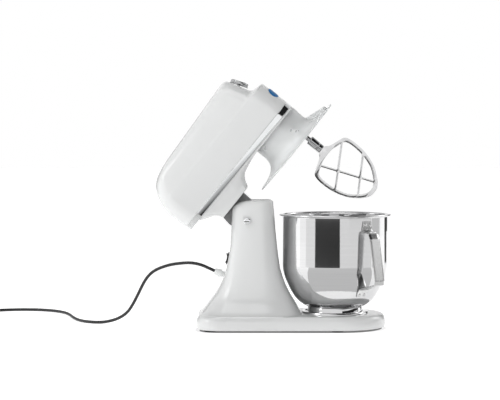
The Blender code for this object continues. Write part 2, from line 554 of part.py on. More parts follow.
# agitator
AU = HUB_U + ORBIT
v, f = turned([(0, -20.0), (4.2, -20.0), (5.0, -19.0), (5.0, 92.0), (0, 92.0)], 20, (AU, 0))
shaft = put("agitator_shaft", v, f, "chrome", origin=(AU, 0, 40), mat=HEAD)
CP = HEAD @ Matrix.Translation((AU, 0, 8.0)) @ Matrix.Rotation(RAD(90), 4, "X")
v, f = turned([(0, -12), (2.2, -12), (2.2, 12), (0, 12)], 12)
cut(shaft, put("cutter_drive", v, f, "grey", mat=CP, hide=True))
v, f = turned([(0, -10), (1.8, -10), (1.8, 10), (0, 10)], 10)
put("drive_pin", v, f, "steel", mat=CP)
v, f = turned([(0, -27.0), (9.2, -27.0), (9.6, -24.0), (9.6, 2.5), (8.6, 4.6), (5.4, 4.6), (5.4, -21.5), (0, -21.5)], 24, (AU, 0))
put("beater_collar", v, f, "chrome", origin=(AU, 0, 0), mat=HEAD)
loops = []
TURNS, PER, SR, SW = 4.0, 10, 7.6, 1.0
for i in range(int(TURNS * PER) + 1):
    a = 2 * math.pi * i / PER
    c = Vector((AU + SR * math.cos(a), SR * math.sin(a), 12.6 + 5.2 * i / PER))
    rad = Vector((math.cos(a), math.sin(a), 0))
    up = Vector((0, 0, 1))
    loops.append([tuple(c + rad * (SW * math.cos(t)) + up * (SW * math.sin(t))) for t in [2 * math.pi * j / 6 for j in range(6)]])
v, f = loft(loops)
put("beater_spring", v, f, "steel", origin=(AU, 0, 20), mat=HEAD, smooth=60)

# flat beater, drawn in (p across, s down)
OUT = [(-4.0, 0.0), (-9, 4.0), (-22, 9.0), (-27.5, 13.0), (-29.0, 24.0), (-28.5, 36.0), (-27.0, 43.0), (-24.5, 50.0), (-23.5, 55.0), (-17.0, 64.0), (-11.0, 71.0), (-5.0, 74.4), (0.0, 75.2),
       (5.0, 74.4), (11.0, 71.0), (17.0, 64.0), (23.5, 55.0), (24.5, 50.0), (27.0, 43.0), (28.5, 36.0), (29.0, 24.0), (27.5, 13.0), (22, 9.0), (9, 4.0), (4.0, 0.0)]
outline = [(p * BEATER_S, s * BEATER_S) for p, s in OUT]


def clip(poly, a, b, side, gap):
    """Keep the part of poly on one side of the line a-b, gap mm away from it."""
    dx, dy = b[0] - a[0], b[1] - a[1]
    d = math.hypot(dx, dy)
    nx, ny = -dy / d * side, dx / d * side
    def dist(p):
        return (p[0] - a[0]) * nx + (p[1] - a[1]) * ny - gap
    out = []
    for i in range(len(poly)):
        p, q = poly[i], poly[(i + 1) % len(poly)]
        dp, dq = dist(p), dist(q)
        if dp >= 0:
            out.append(p)
        if dp * dq < 0:
            t = dp / (dp - dq)
            out.append((p[0] + t * (q[0] - p[0]), p[1] + t * (q[1] - p[1])))
    return out


INN = [(-19.5, 13.0), (-23.6, 15.5), (-24.9, 24.0), (-24.5, 36.0), (-23.0, 42.5), (-20.6, 49.5), (-19.4, 53.5), (-13.8, 61.0), (-8.5, 66.6), (-4.0, 69.6), (0.0, 70.2),
       (4.0, 69.6), (8.5, 66.6), (13.8, 61.0), (19.4, 53.5), (20.6, 49.5), (23.0, 42.5), (24.5, 36.0), (24.9, 24.0), (23.6, 15.5), (19.5, 13.0), (7.5, 8.6), (-7.5, 8.6)]
inn = [(p * BEATER_S, s * BEATER_S) for p, s in INN]
K = BEATER_S
SPINE = ((-15 * K, 8.4 * K), (9.8 * K, 69.3 * K))
RIB1 = ((21 * K, 11.8 * K), (-27 * K, 41 * K))
RIB2 = ((27.8 * K, 36.7 * K), (-15.6 * K, 64 * K))
holes = []
for s_side in (1, -1):
    half = clip(inn, *SPINE, s_side, 2.3)
    for band in (((RIB1, -1),), ((RIB1, 1), (RIB2, -1)), ((RIB2, 1),)):
        q = half
        for line, side in band:
            q = clip(q, *line, -side, 2.3)
        if len(q) >= 3:
            area = abs(sum(q[i][0] * q[(i + 1) % len(q)][1] - q[(i + 1) % len(q)][0] * q[i][1] for i in range(len(q)))) / 2
            clean = [p for i, p in enumerate(q) if math.dist(p, q[i - 1]) > 0.4]
            if area > 40 and len(clean) >= 3:
                holes.append(clean)
v, f = plate([outline] + [list(reversed(h)) for h in holes], -4.5, 4.5)
v = [(AU + p[0], p[2], -27.3 - p[1]) for p in v]
put("flat_beater", v, f, "alu", origin=(AU, 0, -60), mat=HEAD, smooth=30)

# splash guard and pouring chute
prof = [(58.0, 73.1), (58.0, 50.0), (59.2, 43.0), (63.0, 35.0), (70.0, 27.6), (80.0, 22.4), (94.0, 19.2), (108.0, 17.6), (GUARD_R, 17.2), (GUARD_R, 14.6), (108.0, 14.9),
        (94.0, 16.6), (79.2, 19.7), (68.4, 25.5), (60.9, 33.8), (56.9, 42.4), (55.6, 50.0), (55.6, 73.1)]
v, f = turned(prof, 40, (HUB_U, 0))
guard = put("splash_guard", v, f, "clear", mat=HEAD, smooth=40)


def chute(g, z0, slant, lift=0.0):
    pts = rounded(236.0 - g, 279.0 + g, 27.0 + g, 8.0 + g, 5.0 + g, 3)
    if slant:
        return [(x, y, 39.0 - (x - 236.0) * 14.0 / 41.0 + lift) for x, y in pts]
    return [(x, y, z0) for x, y in pts]


v, f = loft([chute(0, 14.6, False), chute(0, 0, True), chute(-2.2, 0, True), chute(-2.2, 14.6, False)], closed=True)
put("pouring_chute", v, f, "clear", mat=HEAD, smooth=30)
v, f = loft([chute(0.35, 5.0, False), chute(0.35, 60.0, False)])
cut(guard, put("cutter_chute", v, f, "grey", mat=HEAD, hide=True))

# ================= mains lead =================
ROUTE = [(-69.8, 0.0, 115.9), (-86.2, 2, 123.4), (-102.7, 5, 129.8), (-123.4, 10, 132.9), (-144.2, 15, 131.5), (-165.0, 20, 128.0), (-185.0, 25, 121.5), (-200.2, 29, 113.5),
         (-211.6, 32, 103.0), (-220.4, 35, 90.0), (-228.4, 38, 74.5), (-236.6, 41, 58.0), (-245.0, 43, 42.5), (-253.5, 46, 30.0), (-265.0, 51, 19.5),
         (-280.0, 57, 11.4), (-297.5, 63, 6.0), (-315.0, 67.5, 3.6), (-334.0, 75, 3.4), (-351.5, 91, 3.4), (-367.0, 118, 3.4), (-379.0, 152, 3.4), (-389.0, 190, 3.4), (-399.0, 226, 3.4),
         (-412.0, 258, 3.4), (-430.0, 285, 3.4), (-454.0, 306, 3.4), (-483.0, 319, 3.4), (-515.0, 323, 3.4), (-547.0, 318, 3.4), (-577.0, 305, 3.4), (-604.6, 281.4, 3.4)]


def smooth_route(pts, step):
    out = []
    m = len(pts)
    for i in range(m - 1):
        p0, p1, p2, p3 = (Vector(pts[max(0, min(m - 1, i + d))]) for d in (-1, 0, 1, 2))
        n = max(1, round((p2 - p1).length / step))
        for k in range(n):
            t = k / n
            out.append(0.5 * ((2 * p1) + (p2 - p0) * t + (2 * p0 - 5 * p1 + 4 * p2 - p3) * t * t + (3 * p1 - p0 - 3 * p2 + p3) * t ** 3))
    out.append(Vector(pts[-1]))
    return out


pts = smooth_route(ROUTE, 17.0)
loops = []
side = Vector((0, 1, 0))
for i, p in enumerate(pts):
    d = (pts[min(len(pts) - 1, i + 1)] - pts[max(0, i - 1)]).normalized()
    side = (side - d * side.dot(d)).normalized()
    up = d.cross(side)
    loops.append([tuple(p + side * (CORD_R * math.cos(t)) + up * (CORD_R * math.sin(t))) for t in [2 * math.pi * j / 8 for j in range(8)]])
v, f = loft(loops)
put("cord_lead", v, f, "rubber", origin=tuple(pts[0]), smooth=60)
prof = [(37.0 + 7.0 * math.cos(RAD(a)), 7.2 + 7.0 * math.sin(RAD(a))) for a in range(0, 360, 45)]
v, f = turned(prof, 24, (-636.0, 250.0))
put("cord_coil", v, f, "rubber", smooth=60)
PM = Matrix.Translation((-697.5, 250.0, 12.2)) @ Matrix.Rotation(RAD(90), 4, "Z")
lp = [[(x, y * s, z * s) for y, z in ((-10, -12), (10, -12), (13, -8), (13, 8), (9, 12), (-9, 12), (-13, 8), (-13, -8))] for x, s in ((-22, 0.35), (-16, 0.5), (-4, 0.95), (16, 1.0))]
v, f = loft(lp)
put("mains_plug", v, f, "rubber", mat=PM)
for i, y in enumerate((-6.5, 6.5)):
    v, f = loft([[(x, y - 0.9, -3.0), (x, y + 0.9, -3.0), (x, y + 0.9, 3.0), (x, y - 0.9, 3.0)] for x in (16.3, 34.0)])
    put("plug_blade_%d" % (i + 1), v, f, "brass", mat=PM)
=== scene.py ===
"""Looks of the tilt-head stand mixer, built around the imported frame."""
import bpy
import bmesh
import json
import math
from mathutils import Matrix, Vector
from mathutils.geometry import tessellate_polygon

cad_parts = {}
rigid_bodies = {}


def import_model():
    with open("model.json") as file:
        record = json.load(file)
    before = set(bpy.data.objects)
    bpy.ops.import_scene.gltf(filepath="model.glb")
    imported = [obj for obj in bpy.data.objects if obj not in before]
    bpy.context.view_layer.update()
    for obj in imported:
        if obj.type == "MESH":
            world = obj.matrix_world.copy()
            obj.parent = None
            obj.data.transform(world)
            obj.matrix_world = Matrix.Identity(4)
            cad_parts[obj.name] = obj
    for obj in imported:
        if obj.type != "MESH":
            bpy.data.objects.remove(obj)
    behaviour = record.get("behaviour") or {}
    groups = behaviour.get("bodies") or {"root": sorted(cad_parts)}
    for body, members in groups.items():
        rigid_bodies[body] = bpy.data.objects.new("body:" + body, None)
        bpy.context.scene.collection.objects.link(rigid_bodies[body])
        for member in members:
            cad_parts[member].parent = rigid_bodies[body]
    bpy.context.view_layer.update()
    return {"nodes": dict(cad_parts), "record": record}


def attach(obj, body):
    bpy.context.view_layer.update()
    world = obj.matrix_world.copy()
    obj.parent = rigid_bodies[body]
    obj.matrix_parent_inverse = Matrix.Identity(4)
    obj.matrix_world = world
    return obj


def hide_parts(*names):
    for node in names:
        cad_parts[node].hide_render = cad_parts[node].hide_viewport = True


for o in list(bpy.data.objects):
    bpy.data.objects.remove(o, do_unlink=True)
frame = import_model()
NODES = frame["nodes"]
RAD = math.radians
X0, Y0 = 49.35, -9.056
PIVOT_X, PIVOT_Z = -5.0, 222.0
HUB_U, ORBIT = 179.3, 28.0
AU = HUB_U + ORBIT
BOWL_X = 174.3
TO_ROW = Matrix.Scale(0.001, 4) @ Matrix.Translation((-X0, -Y0, 0))
HEAD = Matrix.Translation((PIVOT_X, 0, PIVOT_Z)) @ Matrix.Rotation(-RAD(51.0), 4, "Y")
WORLD = Matrix.Identity(4)

# ------------------------------------------------------------------ camera
cam = bpy.data.objects.new("camera", bpy.data.cameras.new("camera"))
bpy.context.scene.collection.objects.link(cam)
cam.data.sensor_width = 36.0
cam.data.lens = 36.0 * 1561.0 / 500.0
cam.location = ((0.0 - X0) / 1000.0, -3.2 - Y0 / 1000.0, 0.377)
cam.rotation_euler = (RAD(90.0 - 2.044), 0.0, 0.0)
cam.data.clip_end = 60.0
bpy.context.scene.camera = cam


# ------------------------------------------------------------------ materials
def material(name, base, rough, metal=0.0, var=0.03, scale=(60, 60, 60), rvar=0.05, bump=0.0, bump_scale=(400, 400, 400), dist=0.0002,
             coat=0.0, detail=3.0, coords="Object", **sockets):
    m = bpy.data.materials.new(name)
    m.use_nodes = True
    nt = m.node_tree
    nt.nodes.clear()
    out = nt.nodes.new("ShaderNodeOutputMaterial")
    b = nt.nodes.new("ShaderNodeBsdfPrincipled")
    nt.links.new(b.outputs[0], out.inputs[0])
    b.inputs["Metallic"].default_value = metal
    if coat:
        b.inputs["Coat Weight"].default_value = coat
        b.inputs["Coat Roughness"].default_value = 0.04
    for k, v in sockets.items():
        b.inputs[k.replace("_", " ")].default_value = v
    tc = nt.nodes.new("ShaderNodeTexCoord")
    def noise(sc, det):
        mp = nt.nodes.new("ShaderNodeMapping")
        mp.inputs["Scale"].default_value = sc
        nt.links.new(tc.outputs[coords], mp.inputs["Vector"])
        n = nt.nodes.new("ShaderNodeTexNoise")
        n.inputs["Scale"].default_value = 1.0
        n.inputs["Detail"].default_value = det
        nt.links.new(mp.outputs[0], n.inputs["Vector"])
        return n
    n1 = noise(scale, detail)
    ramp = nt.nodes.new("ShaderNodeValToRGB")
    ramp.color_ramp.elements[0].position = 0.35
    ramp.color_ramp.elements[1].position = 0.65
    ramp.color_ramp.elements[0].color = (*[max(0.0, c * (1 - var)) for c in base], 1)
    ramp.color_ramp.elements[1].color = (*[min(1.0, c * (1 + var)) for c in base], 1)
    nt.links.new(n1.outputs["Fac"], ramp.inputs[0])
    nt.links.new(ramp.outputs[0], b.inputs["Base Color"])
    mr = nt.nodes.new("ShaderNodeMapRange")
    mr.inputs["From Min"].default_value = 0.3
    mr.inputs["From Max"].default_value = 0.7
    mr.inputs["To Min"].default_value = max(0.0, rough - rvar)
    mr.inputs["To Max"].default_value = rough + rvar
    n2 = noise(tuple(s * 1.7 for s in scale), detail)
    nt.links.new(n2.outputs["Fac"], mr.inputs["Value"])
    nt.links.new(mr.outputs[0], b.inputs["Roughness"])
    if bump:
        n3 = noise(bump_scale, 2.0)
        bp = nt.nodes.new("ShaderNodeBump")
        bp.inputs["Strength"].default_value = bump
        bp.inputs["Distance"].default_value = dist
        nt.links.new(n3.outputs["Fac"], bp.inputs["Height"])
        nt.links.new(bp.outputs[0], b.inputs["Normal"])
    return m


M = {}
M["paint"] = material("gloss_white_paint", (0.688, 0.695, 0.694), 0.22, var=0.012, scale=(9, 9, 9), rvar=0.03, bump=0.05, bump_scale=(500, 500, 500), dist=0.00006, coat=0.45)
M["chrome"] = material("bright_chrome", (0.86, 0.87, 0.88), 0.045, 1.0, var=0.01, scale=(30, 30, 30), rvar=0.02)
M["steel"] = material("polished_bowl_steel", (0.66, 0.66, 0.665), 0.05, 1.0, var=0.02, scale=(4, 4, 900), rvar=0.015, bump=0.015, bump_scale=(4, 4, 2600), dist=0.00005)
M["knob"] = material("dark_mirror_chrome", (0.46, 0.465, 0.47), 0.07, 1.0, var=0.02, scale=(40, 40, 40), rvar=0.02)
M["satin"] = material("satin_handle_steel", (0.70, 0.70, 0.70), 0.24, 1.0, var=0.04, scale=(1500, 1500, 14), rvar=0.06, bump=0.12, bump_scale=(2600, 2600, 20), dist=0.00006)
M["gear"] = material("oiled_gear_steel", (0.42, 0.42, 0.43), 0.34, 1.0, var=0.08, scale=(120, 120, 120), rvar=0.08, bump=0.15, bump_scale=(900, 900, 900))
M["cast"] = material("burnished_beater_metal", (0.72, 0.72, 0.725), 0.09, 1.0, var=0.07, scale=(70, 70, 70), rvar=0.09, bump=0.22, bump_scale=(520, 520, 520), dist=0.00018)
M["alu"] = material("machined_aluminium", (0.60, 0.60, 0.61), 0.33, 1.0, var=0.05, scale=(240, 240, 240), rvar=0.07, bump=0.1, bump_scale=(1200, 1200, 1200))
M["dark"] = material("moulded_black_plastic", (0.012, 0.012, 0.013), 0.42, var=0.15, scale=(120, 120, 120), rvar=0.08, bump=0.25, bump_scale=(1800, 1800, 1800), dist=0.0001)
M["switch"] = material("glossy_black_switch", (0.010, 0.010, 0.011), 0.20, var=0.1, scale=(90, 90, 90), rvar=0.05, bump=0.05, bump_scale=(900, 900, 900), coat=0.3)
M["grey"] = material("grey_plastic", (0.84, 0.85, 0.845), 0.42, var=0.04, scale=(120, 120, 120), rvar=0.07, bump=0.2, bump_scale=(1700, 1700, 1700), dist=0.0001)
M["rubber"] = material("black_rubber", (0.014, 0.014, 0.014), 0.55, var=0.15, scale=(150, 150, 150), rvar=0.1, bump=0.3, bump_scale=(1500, 1500, 1500), dist=0.00012)
M["cord"] = material("black_cord_jacket", (0.012, 0.012, 0.013), 0.38, var=0.2, scale=(90, 90, 90), rvar=0.08, bump=0.2, bump_scale=(700, 700, 700), dist=0.00012)
M["brass"] = material("plug_blade_metal", (0.75, 0.62, 0.36), 0.25, 1.0, var=0.05, scale=(200, 200, 200), rvar=0.06)
M["blue"] = material("blue_printed_disc", (0.004, 0.125, 0.34), 0.42, var=0.08, scale=(160, 160, 160), rvar=0.05, Specular_IOR_Level=0.25)
M["bracket"] = material("dark_cast_bracket", (0.19, 0.193, 0.193), 0.36, 0.35, var=0.12, scale=(150, 150, 150), rvar=0.08, bump=0.25, bump_scale=(900, 900, 900), dist=0.0001)
M["board"] = material("circuit_board", (0.02, 0.14, 0.06), 0.42, var=0.2, scale=(260, 260, 260), rvar=0.1)
M["motor"] = material("motor_laminations", (0.25, 0.24, 0.24), 0.42, 1.0, var=0.1, scale=(10, 10, 900), rvar=0.08)
M["copper"] = material("wound_copper", (0.62, 0.27, 0.13), 0.32, 1.0, var=0.15, scale=(300, 300, 300), rvar=0.08, bump=0.5, bump_scale=(40, 40, 900), dist=0.0003)
M["clear"] = material("clear_plastic", (0.93, 0.94, 0.94), 0.32, var=0.012, scale=(20, 20, 20), rvar=0.05, bump=0.03, bump_scale=(80, 80, 80), Transmission_Weight=0.55, IOR=1.30)
BASE_FOR = {
    "white_paint": "paint", "chrome": "chrome", "polished_steel": "steel", "machined_steel": "gear", "dark_plastic": "dark", "grey_plastic": "grey",
    "board": "board", "black_rubber": "rubber", "brass": "brass", "aluminium": "alu", "motor_metal": "motor", "clear_plastic": "clear", "blue_label": "blue",
}
for s in frame["record"]["subparts"]:
    me = NODES[s["node"]].data
    me.materials.clear()
    me.materials.append(M["copper" if s["node"] == "motor_rotor" else BASE_FOR[s["material_slot"]]])


# ------------------------------------------------------------------ mesh tools (mm in the working frame)
def make(name, geo, mat, body, nodes, place=WORLD, smooth=35.0, sub=0, bevel=0.0, cuts=(), bevel_angle=35.0, segs=3, extra=()):
    verts, faces = geo
    me = bpy.data.meshes.new(name)
    T = TO_ROW @ place
    me.from_pydata([T @ Vector(v) for v in verts], [], faces)
    bm = bmesh.new()
    bm.from_mesh(me)
    bmesh.ops.remove_doubles(bm, verts=bm.verts, dist=1e-7)
    bmesh.ops.recalc_face_normals(bm, faces=bm.faces)
    bm.to_mesh(me)
    bm.free()
    ob = bpy.data.objects.new(name, me)
    bpy.context.scene.collection.objects.link(ob)
    if body is None:
        return ob
    me.shade_smooth()
    me.set_sharp_from_angle(angle=RAD(smooth))
    if sub:
        md = ob.modifiers.new("sub", "SUBSURF")
        md.levels = md.render_levels = sub
    for c in cuts:
        md = ob.modifiers.new("cut", "BOOLEAN")
        md.operation, md.solver, md.object = "DIFFERENCE", "EXACT", c
    if bevel:
        md = ob.modifiers.new("bevel", "BEVEL")
        md.width, md.segments, md.limit_method, md.angle_limit = bevel / 1000.0, segs, "ANGLE", RAD(bevel_angle)
        md.harden_normals = False
    if cuts or bevel or sub:
        dg = bpy.context.evaluated_depsgraph_get()
        new = bpy.data.meshes.new_from_object(ob.evaluated_get(dg), depsgraph=dg)
        ob.modifiers.clear()
        ob.data = new
        new.shade_smooth()
        new.set_sharp_from_angle(angle=RAD(smooth))
    ob.data.materials.clear()
    ob.data.materials.append(M[mat])
    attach(ob, body)
    if nodes:
        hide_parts(*nodes)
    return ob


def cutter(geo, place=WORLD):
    return make("cutter", geo, None, None, (), place)


def loft(loops, closed=False, cap0=True, cap1=True):
    n = len(loops[0])
    verts = [p for lp in loops for p in lp]
    faces = []
    pairs = [(i, i + 1) for i in range(len(loops) - 1)]
    if closed:
        pairs.append((len(loops) - 1, 0))
    for a, b in pairs:
        for k in range(n):
            k2 = (k + 1) % n
            faces.append((a * n + k, a * n + k2, b * n + k2, b * n + k))
    if not closed:
        if cap0:
            faces.append(tuple(range(n)))
        if cap1:
            faces.append(tuple(range((len(loops) - 1) * n, len(loops) * n)))
    return verts, faces


def turned(profile, seg=96, centre=(0.0, 0.0)):
    verts, rings = [], []
    for r, z in profile:
        if r <= 1e-6:
            verts.append((centre[0], centre[1], z))
            rings.append([len(verts) - 1])
        else:
            s = len(verts)
            for k in range(seg):
                a = 2 * math.pi * k / seg
                verts.append((centre[0] + r * math.cos(a), centre[1] + r * math.sin(a), z))
            rings.append(list(range(s, s + seg)))
    faces = []
    pairs = [(rings[i], rings[i + 1]) for i in range(len(rings) - 1)]
    if profile[0][0] > 1e-6:
        pairs.append((rings[-1], rings[0]))
    for a, b in pairs:
        for k in range(seg):
            k2 = (k + 1) % seg
            if len(a) == 1:
                faces.append((a[0], b[k2], b[k]))
            elif len(b) == 1:
                faces.append((a[k], a[k2], b[0]))
            else:
                faces.append((a[k], a[k2], b[k2], b[k]))
    return verts, faces


def fillet(profile, radius, seg=4, skip=()):
    """Rounds the inner corners of an open profile of (r, z)."""
    out = [profile[0]]
    for i in range(1, len(profile) - 1):
        p, a, b = Vector(profile[i]), Vector(profile[i - 1]), Vector(profile[i + 1])
        da, db = (a - p), (b - p)
        if i in skip or da.length < 1e-6 or db.length < 1e-6:
            out.append(tuple(p))
            continue
        ang = da.angle(db)
        if ang > RAD(172):
            out.append(tuple(p))
            continue
        t = min(radius / math.tan(ang / 2), da.length * 0.45, db.length * 0.45)
        p0, p1 = p + da.normalized() * t, p + db.normalized() * t
        for k in range(seg + 1):
            s = k / seg
            q = p0 * (1 - s) ** 2 + p * 2 * s * (1 - s) + p1 * s ** 2
            out.append(tuple(q))
    out.append(profile[-1])
    return out


def smooth_profile(pts, per=5):
    out = []
    m = len(pts)
    for i in range(m - 1):
        p0, p1, p2, p3 = (Vector(pts[max(0, min(m - 1, i + d))]) for d in (-1, 0, 1, 2))
        for k in range(per):
            t = k / per
            out.append(tuple(0.5 * ((2 * p1) + (p2 - p0) * t + (2 * p0 - 5 * p1 + 4 * p2 - p3) * t * t + (3 * p1 - p0 - 3 * p2 + p3) * t ** 3)))
    out.append(tuple(pts[-1]))
    return out


def plate(loops, z0, z1):
    flat = [p for lp in loops for p in lp]
    tris = tessellate_polygon([[Vector((p[0], p[1], 0.0)) for p in lp] for lp in loops])
    n = len(flat)
    verts = [(p[0], p[1], z0) for p in flat] + [(p[0], p[1], z1) for p in flat]
    faces = []
    for a, b, c in tris:
        faces.append((a, b, c))
        faces.append((a + n, b + n, c + n))
    s = 0
    for lp in loops:
        m = len(lp)
        for k in range(m):
            k2 = (k + 1) % m
            faces.append((s + k, s + k2, s + k2 + n, s + k + n))
        s += m
    return verts, faces


def circle(r, seg, cx=0.0, cy=0.0):
    return [(cx + r * math.cos(2 * math.pi * k / seg), cy + r * math.sin(2 * math.pi * k / seg)) for k in range(seg)]


def rounded(x0, x1, hy, rf, rb, k=5):
    pts = []
    rf, rb = min(rf, hy - 0.5), min(rb, hy - 0.5)
    for cx, cy, r, a0 in ((x1 - rf, hy - rf, rf, 0), (x0 + rb, hy - rb, rb, 90), (x0 + rb, -hy + rb, rb, 180), (x1 - rf, -hy + rf, rf, 270)):
        for i in range(k + 1):
            a = RAD(a0 + 90.0 * i / k)
            pts.append((cx + r * math.cos(a), cy + r * math.sin(a)))
    return pts


def ray(poly, c, ang):
    dx, dy = math.cos(ang), math.sin(ang)
    best = None
    m = len(poly)
    for i in range(m):
        ax, ay = poly[i][0] - c[0], poly[i][1] - c[1]
        bx, by = poly[(i + 1) % m][0] - c[0], poly[(i + 1) % m][1] - c[1]
        ex, ey = bx - ax, by - ay
        den = dx * ey - dy * ex
        if abs(den) < 1e-12:
            continue
        t = (ax * ey - ay * ex) / den
        s = (ax * dy - ay * dx) / den
        if t > 0 and -1e-9 <= s <= 1 + 1e-9 and (best is None or t > best):
            best = t
    return (c[0] + best * dx, c[1] + best * dy)


def box_geo(x0, x1, y0, y1, z0, z1):
    return loft([[(x0, y0, z), (x1, y0, z), (x1, y1, z), (x0, y1, z)] for z in (z0, z1)])


def tube_mesh(pts, radius, seg=12):
    loops = []
    side = Vector((0.3, 1, 0.2))
    for i, p in enumerate(pts):
        d = (Vector(pts[min(len(pts) - 1, i + 1)]) - Vector(pts[max(0, i - 1)])).normalized()
        side = (side - d * side.dot(d)).normalized()
        up = d.cross(side)
        loops.append([tuple(Vector(p) + side * (radius * math.cos(t)) + up * (radius * math.sin(t))) for t in [2 * math.pi * j / seg for j in range(seg)]])
    return loft(loops)


# ------------------------------------------------------------------ mains lead (the route of the CAD lead, then its coil and plug)
CORD_R = 3.2
ROUTE = [(-69.8, 0.0, 115.9), (-86.2, 2, 123.4), (-102.7, 5, 129.8), (-123.4, 10, 132.9), (-144.2, 15, 131.5), (-165.0, 20, 128.0), (-185.0, 25, 121.5), (-200.2, 29, 113.5),
         (-211.6, 32, 103.0), (-220.4, 35, 90.0), (-228.4, 38, 74.5), (-236.6, 41, 58.0), (-245.0, 43, 42.5), (-253.5, 46, 30.0), (-265.0, 51, 19.5),
         (-280.0, 57, 11.4), (-297.5, 63, 6.0), (-315.0, 67.5, 3.6), (-334.0, 75, 3.3), (-351.5, 91, 3.3), (-367.0, 118, 3.3), (-379.0, 152, 3.3), (-389.0, 190, 3.3), (-399.0, 226, 3.3),
         (-412.0, 258, 3.3), (-430.0, 285, 3.3), (-454.0, 306, 3.3), (-483.0, 319, 3.3), (-515.0, 322, 3.3), (-546.0, 316, 3.3), (-573.0, 301, 3.3), (-590.5, 279, 3.3)]
CX, CY, CR = -636.0, 250.0, 37.0
for i in range(0, 33):
    f = -i * 24.0
    if f < -778:
        break
    ROUTE.append((CX + CR * math.cos(RAD(f)), CY + CR * math.sin(RAD(f)), 3.3 + 6.8 * (-f) / 360.0))
ROUTE += [(-626.0, 209.5, 17.6), (-643.0, 200.5, 17.0), (-663.0, 197.0, 15.4), (-681.0, 201.5, 13.6), (-692.5, 213.0, 12.4), (-697.3, 226.0, 12.2)]
line = smooth_profile(ROUTE, 4)
cu = bpy.data.curves.new("mains_cord", "CURVE")
cu.dimensions = "3D"
cu.bevel_depth = CORD_R / 1000.0
cu.bevel_resolution = 4
cu.use_fill_caps = True
cu.render_resolution_u = 0
sp = cu.splines.new("POLY")
sp.points.add(len(line) - 1)
for q, p in zip(sp.points, line):
    v = TO_ROW @ Vector(p)
    q.co = (v.x, v.y, v.z, 1.0)
cord = bpy.data.objects.new("mains_cord", cu)
bpy.context.scene.collection.objects.link(cord)
cu.materials.append(M["cord"])
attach(cord, "stand")
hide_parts("cord_lead", "cord_coil")
PM = Matrix.Translation((-697.5, 250.0, 12.2)) @ Matrix.Rotation(RAD(90), 4, "Z")


def plug_loop(x, s):
    pts = []
    for cy, cz, a0 in ((8.0, 7.0, 0), (-8.0, 7.0, 90), (-8.0, -7.0, 180), (8.0, -7.0, 270)):
        for i in range(5):
            a = RAD(a0 + 22.5 * i)
            pts.append((x, (cy + 5.0 * math.cos(a)) * s, (cz + 5.0 * math.sin(a)) * s))
    return pts


plug = make("plug_body", loft([plug_loop(x, s) for x, s in ((-22, 0.33), (-21.5, 0.40), (-19.5, 0.42), (-19.0, 0.36), (-17.5, 0.36), (-17, 0.46), (-15, 0.48), (-14.5, 0.42), (-13, 0.44), (-12, 0.60),
             (-6, 0.86), (-1, 0.97), (4, 1.0), (12, 1.0), (14.5, 0.985), (16, 0.94))]), "rubber", "stand", ("mains_plug",), PM, smooth=30)
tie = make("cord_tie", loft([[(CX + x, CY + 37.0 + (5.6 + g) * math.cos(a), 9.2 + (8.2 + g) * math.sin(a)) for a in [2 * math.pi * k / 32 for k in range(32)]]
                 for x, g in ((-4.5, 0.0), (-4.5, 0.9), (4.5, 0.9), (4.5, 0.0))], closed=True), "dark", "stand", (), smooth=30)

# ------------------------------------------------------------------ base casting
CENTRE = (5.0, 0.0)
BASE_R, BASE_REAR = 98.4, -108.7


def base_outline(inset):
    r = BASE_R - inset
    pts = [(BOWL_X + 4.6 + r * math.cos(RAD(a)), r * math.sin(RAD(a))) for a in [-90 + 180 * i / 40 for i in range(41)]]
    pts += [(x, r) for x in (140.0, 105.0, 70.0, 35.0, 0.0, -30.0)]
    cr = 46.0 - inset
    cx, cy = BASE_REAR + inset + cr, r - cr
    pts += [(cx + cr * math.cos(RAD(a)), cy + cr * math.sin(RAD(a))) for a in [90 + 9 * i for i in range(11)]]
    pts += [(BASE_REAR + inset, y) for y in (30.0, 10.0, -10.0, -30.0)]
    pts += [(cx + cr * math.cos(RAD(a)), -cy + cr * math.sin(RAD(a))) for a in [180 + 9 * i for i in range(11)]]
    pts += [(x, -r) for x in (-30.0, 0.0, 35.0, 70.0, 105.0, 140.0)]
    return pts


ANGLES = [math.atan2(y - CENTRE[1], x - CENTRE[0]) for x, y in base_outline(0.0)]


def at_angles(poly, z, c=CENTRE, angles=None):
    return [(*ray(poly, c, a), z) for a in (angles or ANGLES)]


COLUMN = [
    (32.4, -105.4, 108.0, 94.6, 58.0), (34.0, -102.6, 106.2, 91.6, 58.0), (37.0, -98.9, 103.6, 88.0, 58.0), (41.0, -95.2, 100.9, 84.6, 56.0), (46.0, -91.2, 98.0, 81.2, 54.0), (52.0, -86.6, 94.5, 77.6, 52.0),
    (58.0, -82.0, 91.0, 73.5, 50.0), (68.0, -74.2, 84.4, 70.5, 47.0), (78.0, -67.5, 79.0, 68.5, 45.0), (90.0, -60.5, 73.0, 66.5, 42.0),
    (107.0, -53.0, 66.8, 64.0, 38.0), (125.0, -48.0, 61.5, 62.3, 35.0), (148.0, -43.3, 58.0, 60.5, 32.0),
    (174.0, -39.6, 54.9, 59.0, 30.0), (200.0, -38.2, 52.3, 58.0, 28.0), (222.0, -37.2, 50.5, 57.3, 28.0),
    (236.0, -36.7, 49.4, 56.8, 28.0), (244.0, -36.4, 48.6, 56.6, 28.0), (250.5, -34.2, 48.0, 56.2, 28.0), (255.0, -29.3, 47.6, 55.8, 27.0),
    (258.5, -23.4, 47.3, 55.3, 25.0), (260.9, -16.9, 46.9, 54.4, 23.0), (262.3, -11.2, 46.1, 53.0, 20.0), (262.95, -6.9, 44.9, 51.4, 18.0), (263.0, -4.0, 42.5, 49.0, 16.0),
]
